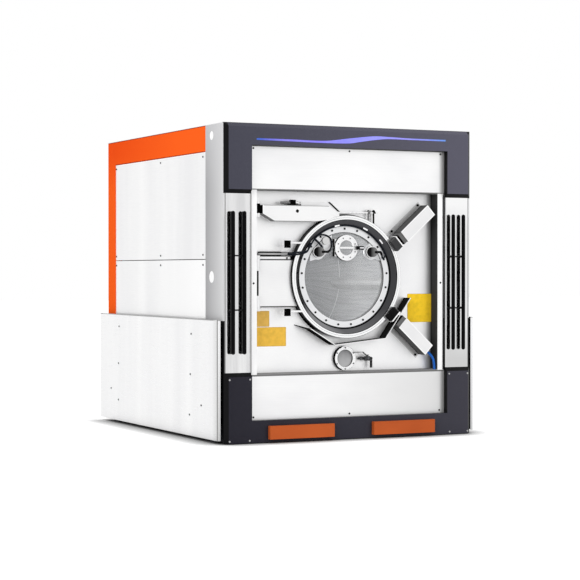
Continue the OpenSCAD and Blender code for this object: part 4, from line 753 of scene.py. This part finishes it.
# The ring's outer wall is painted black, with a wider crescent at its left, as painted shade.
port_marks = [(6, zone(port_at, r=(93, 95))), (6, zone(port_at, r=(88, 95.5), x=(-96, -28))),
              (110, zone(y=(84, 86.5))), (60, zone(port_at, r=(65, 67)))]
dress(stainless("port_steel", 254, 240, (260, 260, 260), 0.3, marks=port_marks), "sight_port")
dress(mottled("valve_steel", 0.3, 0.02, 3.0, (16, 16, 18), (96, 97, 100), (0.24, 0.4), 0.3, 0.3,
              reach=(0.45, 0.6)), "sample_tap", "tap_lever")


# Cables of the door: round rubber cables from the lamps, led round the flange and along the arm.
# They leave the lamps in thicker moulded sleeves, and clips on the flange carry them between their fixed ends.
def eased(points, steps):
    path = []
    for i in range(len(points) - 1):
        a, b, c, d = (points[min(max(i + k, 0), len(points) - 1)] for k in (-1, 0, 1, 2))
        for k in range(steps):
            t = k / steps
            path.append(0.5 * (2 * b + (c - a) * t + (2 * a - 5 * b + 4 * c - d) * t * t
                               + (3 * b - 3 * c + d - a) * t * t * t))
    return path + [points[-1]]


def cable_piece(name, body, points, radius, material, steps=4):
    path = eased([spot(*p) for p in points], steps)
    curve = bpy.data.curves.new(name, "CURVE")
    curve.dimensions = "3D"
    curve.bevel_depth = radius / 1000
    curve.bevel_resolution = 4
    curve.use_fill_caps = True
    line = curve.splines.new("POLY")
    line.points.add(len(path) - 1)
    for point, co in zip(line.points, path):
        point.co = (*co, 1)
    line.use_smooth = True
    curve.materials.append(material)
    made = bpy.data.objects.new(name, curve)
    bpy.context.scene.collection.objects.link(made)
    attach(made, body)
    length = sum((b - a).length for a, b in zip(path, path[1:]))
    return made, path, length


cable_rubber = mottled("cable_rubber", 0.4, 0.006, 3.0, (10, 14, 20), (22, 28, 38), (0.32, 0.48))
cable_radius, lead_radius, sleeve_radius = 6.4, 8.5, 9.2
arc_r, arc_y = 397, 88
right_points = [(286.3, 52, 1440), (294.3, 52, 1437), (304, 56, 1420), (314, 64, 1398), (328, 74, 1390),
                (344, 83, 1402)]
right_points += [(arc_r * math.cos(math.radians(a)), arc_y, axis_z + arc_r * math.sin(math.radians(a)))
                 for a in range(28, 137, 12)]
right_points += [(-318, 80, 1488), (-334, 58, 1466), (-354, 42, 1440), (-400, 40, 1424), (-446, 42, 1418),
                 (-478, 66, 1416.8), (-496.7, 84, 1416.8), (-506.7, 84, 1416.8)]
left_points = [(-177.7, 52, 1440), (-169.7, 52, 1441), (-150, 61, 1451), (-130, 79, 1472), (-116.5, 91.5, 1504),
               (-128, 92, 1545), (-172, 92, 1569), (-232, 84, 1567), (-286, 64, 1530), (-330, 42, 1476),
               (-366, 26, 1444), (-410, 28, 1436), (-452, 36, 1433), (-480, 62, 1429.8), (-496.7, 84, 1429.8),
               (-506.7, 84, 1429.8)]
lead_points = [(-205, 72, 1470), (-214, 72, 1482), (-236, 73, 1506), (-262, 75, 1530), (-280, 76, 1542)]
for name, points, radius in (("right_lamp_cable", right_points, cable_radius),
                             ("left_lamp_cable", left_points, cable_radius),
                             ("left_lamp_lead", lead_points, lead_radius)):
    cable, path, run = cable_piece(name, "door", points, radius, cable_rubber)
    if name == "right_lamp_cable":
        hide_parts("door_cables")
    if radius == cable_radius:
        sleeve = cable_piece(name + "_sleeve", "door", points[:3], sleeve_radius, moulded_black)

# Flange clips: four small bent tabs of bright steel that hold the cable at the rim of the flange.
# Each is a short strip with rounded edges, screwed down under the dish.
clip_steel = stainless("clip_steel", 255, 250, (200, 200, 200), 0.3, metallic=0.1)
half_clip, clip_y = Vector((0.021, 0.002, 0.006)), 78
bm = bmesh.new()
for x, z, lean in ((-287, 1525, 46), (-76, 1641, 11), (172, 1618, -25), (311, 1522, -49)):
    first = len(bm.verts)
    plain_box(bm, -half_clip, half_clip, 0.0012)
    bm.verts.ensure_lookup_table()
    tab = bm.verts[first:]
    bmesh.ops.rotate(bm, verts=tab, cent=(0, 0, 0), matrix=Matrix.Rotation(math.radians(-lean), 3, "Y"))
    bmesh.ops.translate(bm, verts=tab, vec=spot(x, clip_y, z))
make_piece(bm, "flange_clips", "door", clip_steel)

# Air hose: blue nylon tube from the lower clamp's fitting down through the floor of the recess.
# It goes on inside the cabinet, so only this short length of it is made.
hose_nylon = mottled("hose_nylon", 0.28, 0.01, 3.0, (12, 84, 176), (28, 108, 200), (0.22, 0.36), 0.3)
hose_radius = 10
clamp_x, clamp_z, turn = lower_at[0], lower_at[1], math.radians(-lower_at[2])
hose_points = [(clamp_x + s * math.cos(turn), 56, clamp_z - s * math.sin(turn)) for s in (340.3, 350)]
hose_points += [(743, 49, 628), (762, 45, 598), (770, 44, 562), (773, 44, 527), (773, 44, 482)]
air_hose, path, run = cable_piece("clamp_air_hose", "cabinet", hose_points, hose_radius,
                                  hose_nylon, steps=10)
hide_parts("air_hose")

# The finished model's box.
low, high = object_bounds()
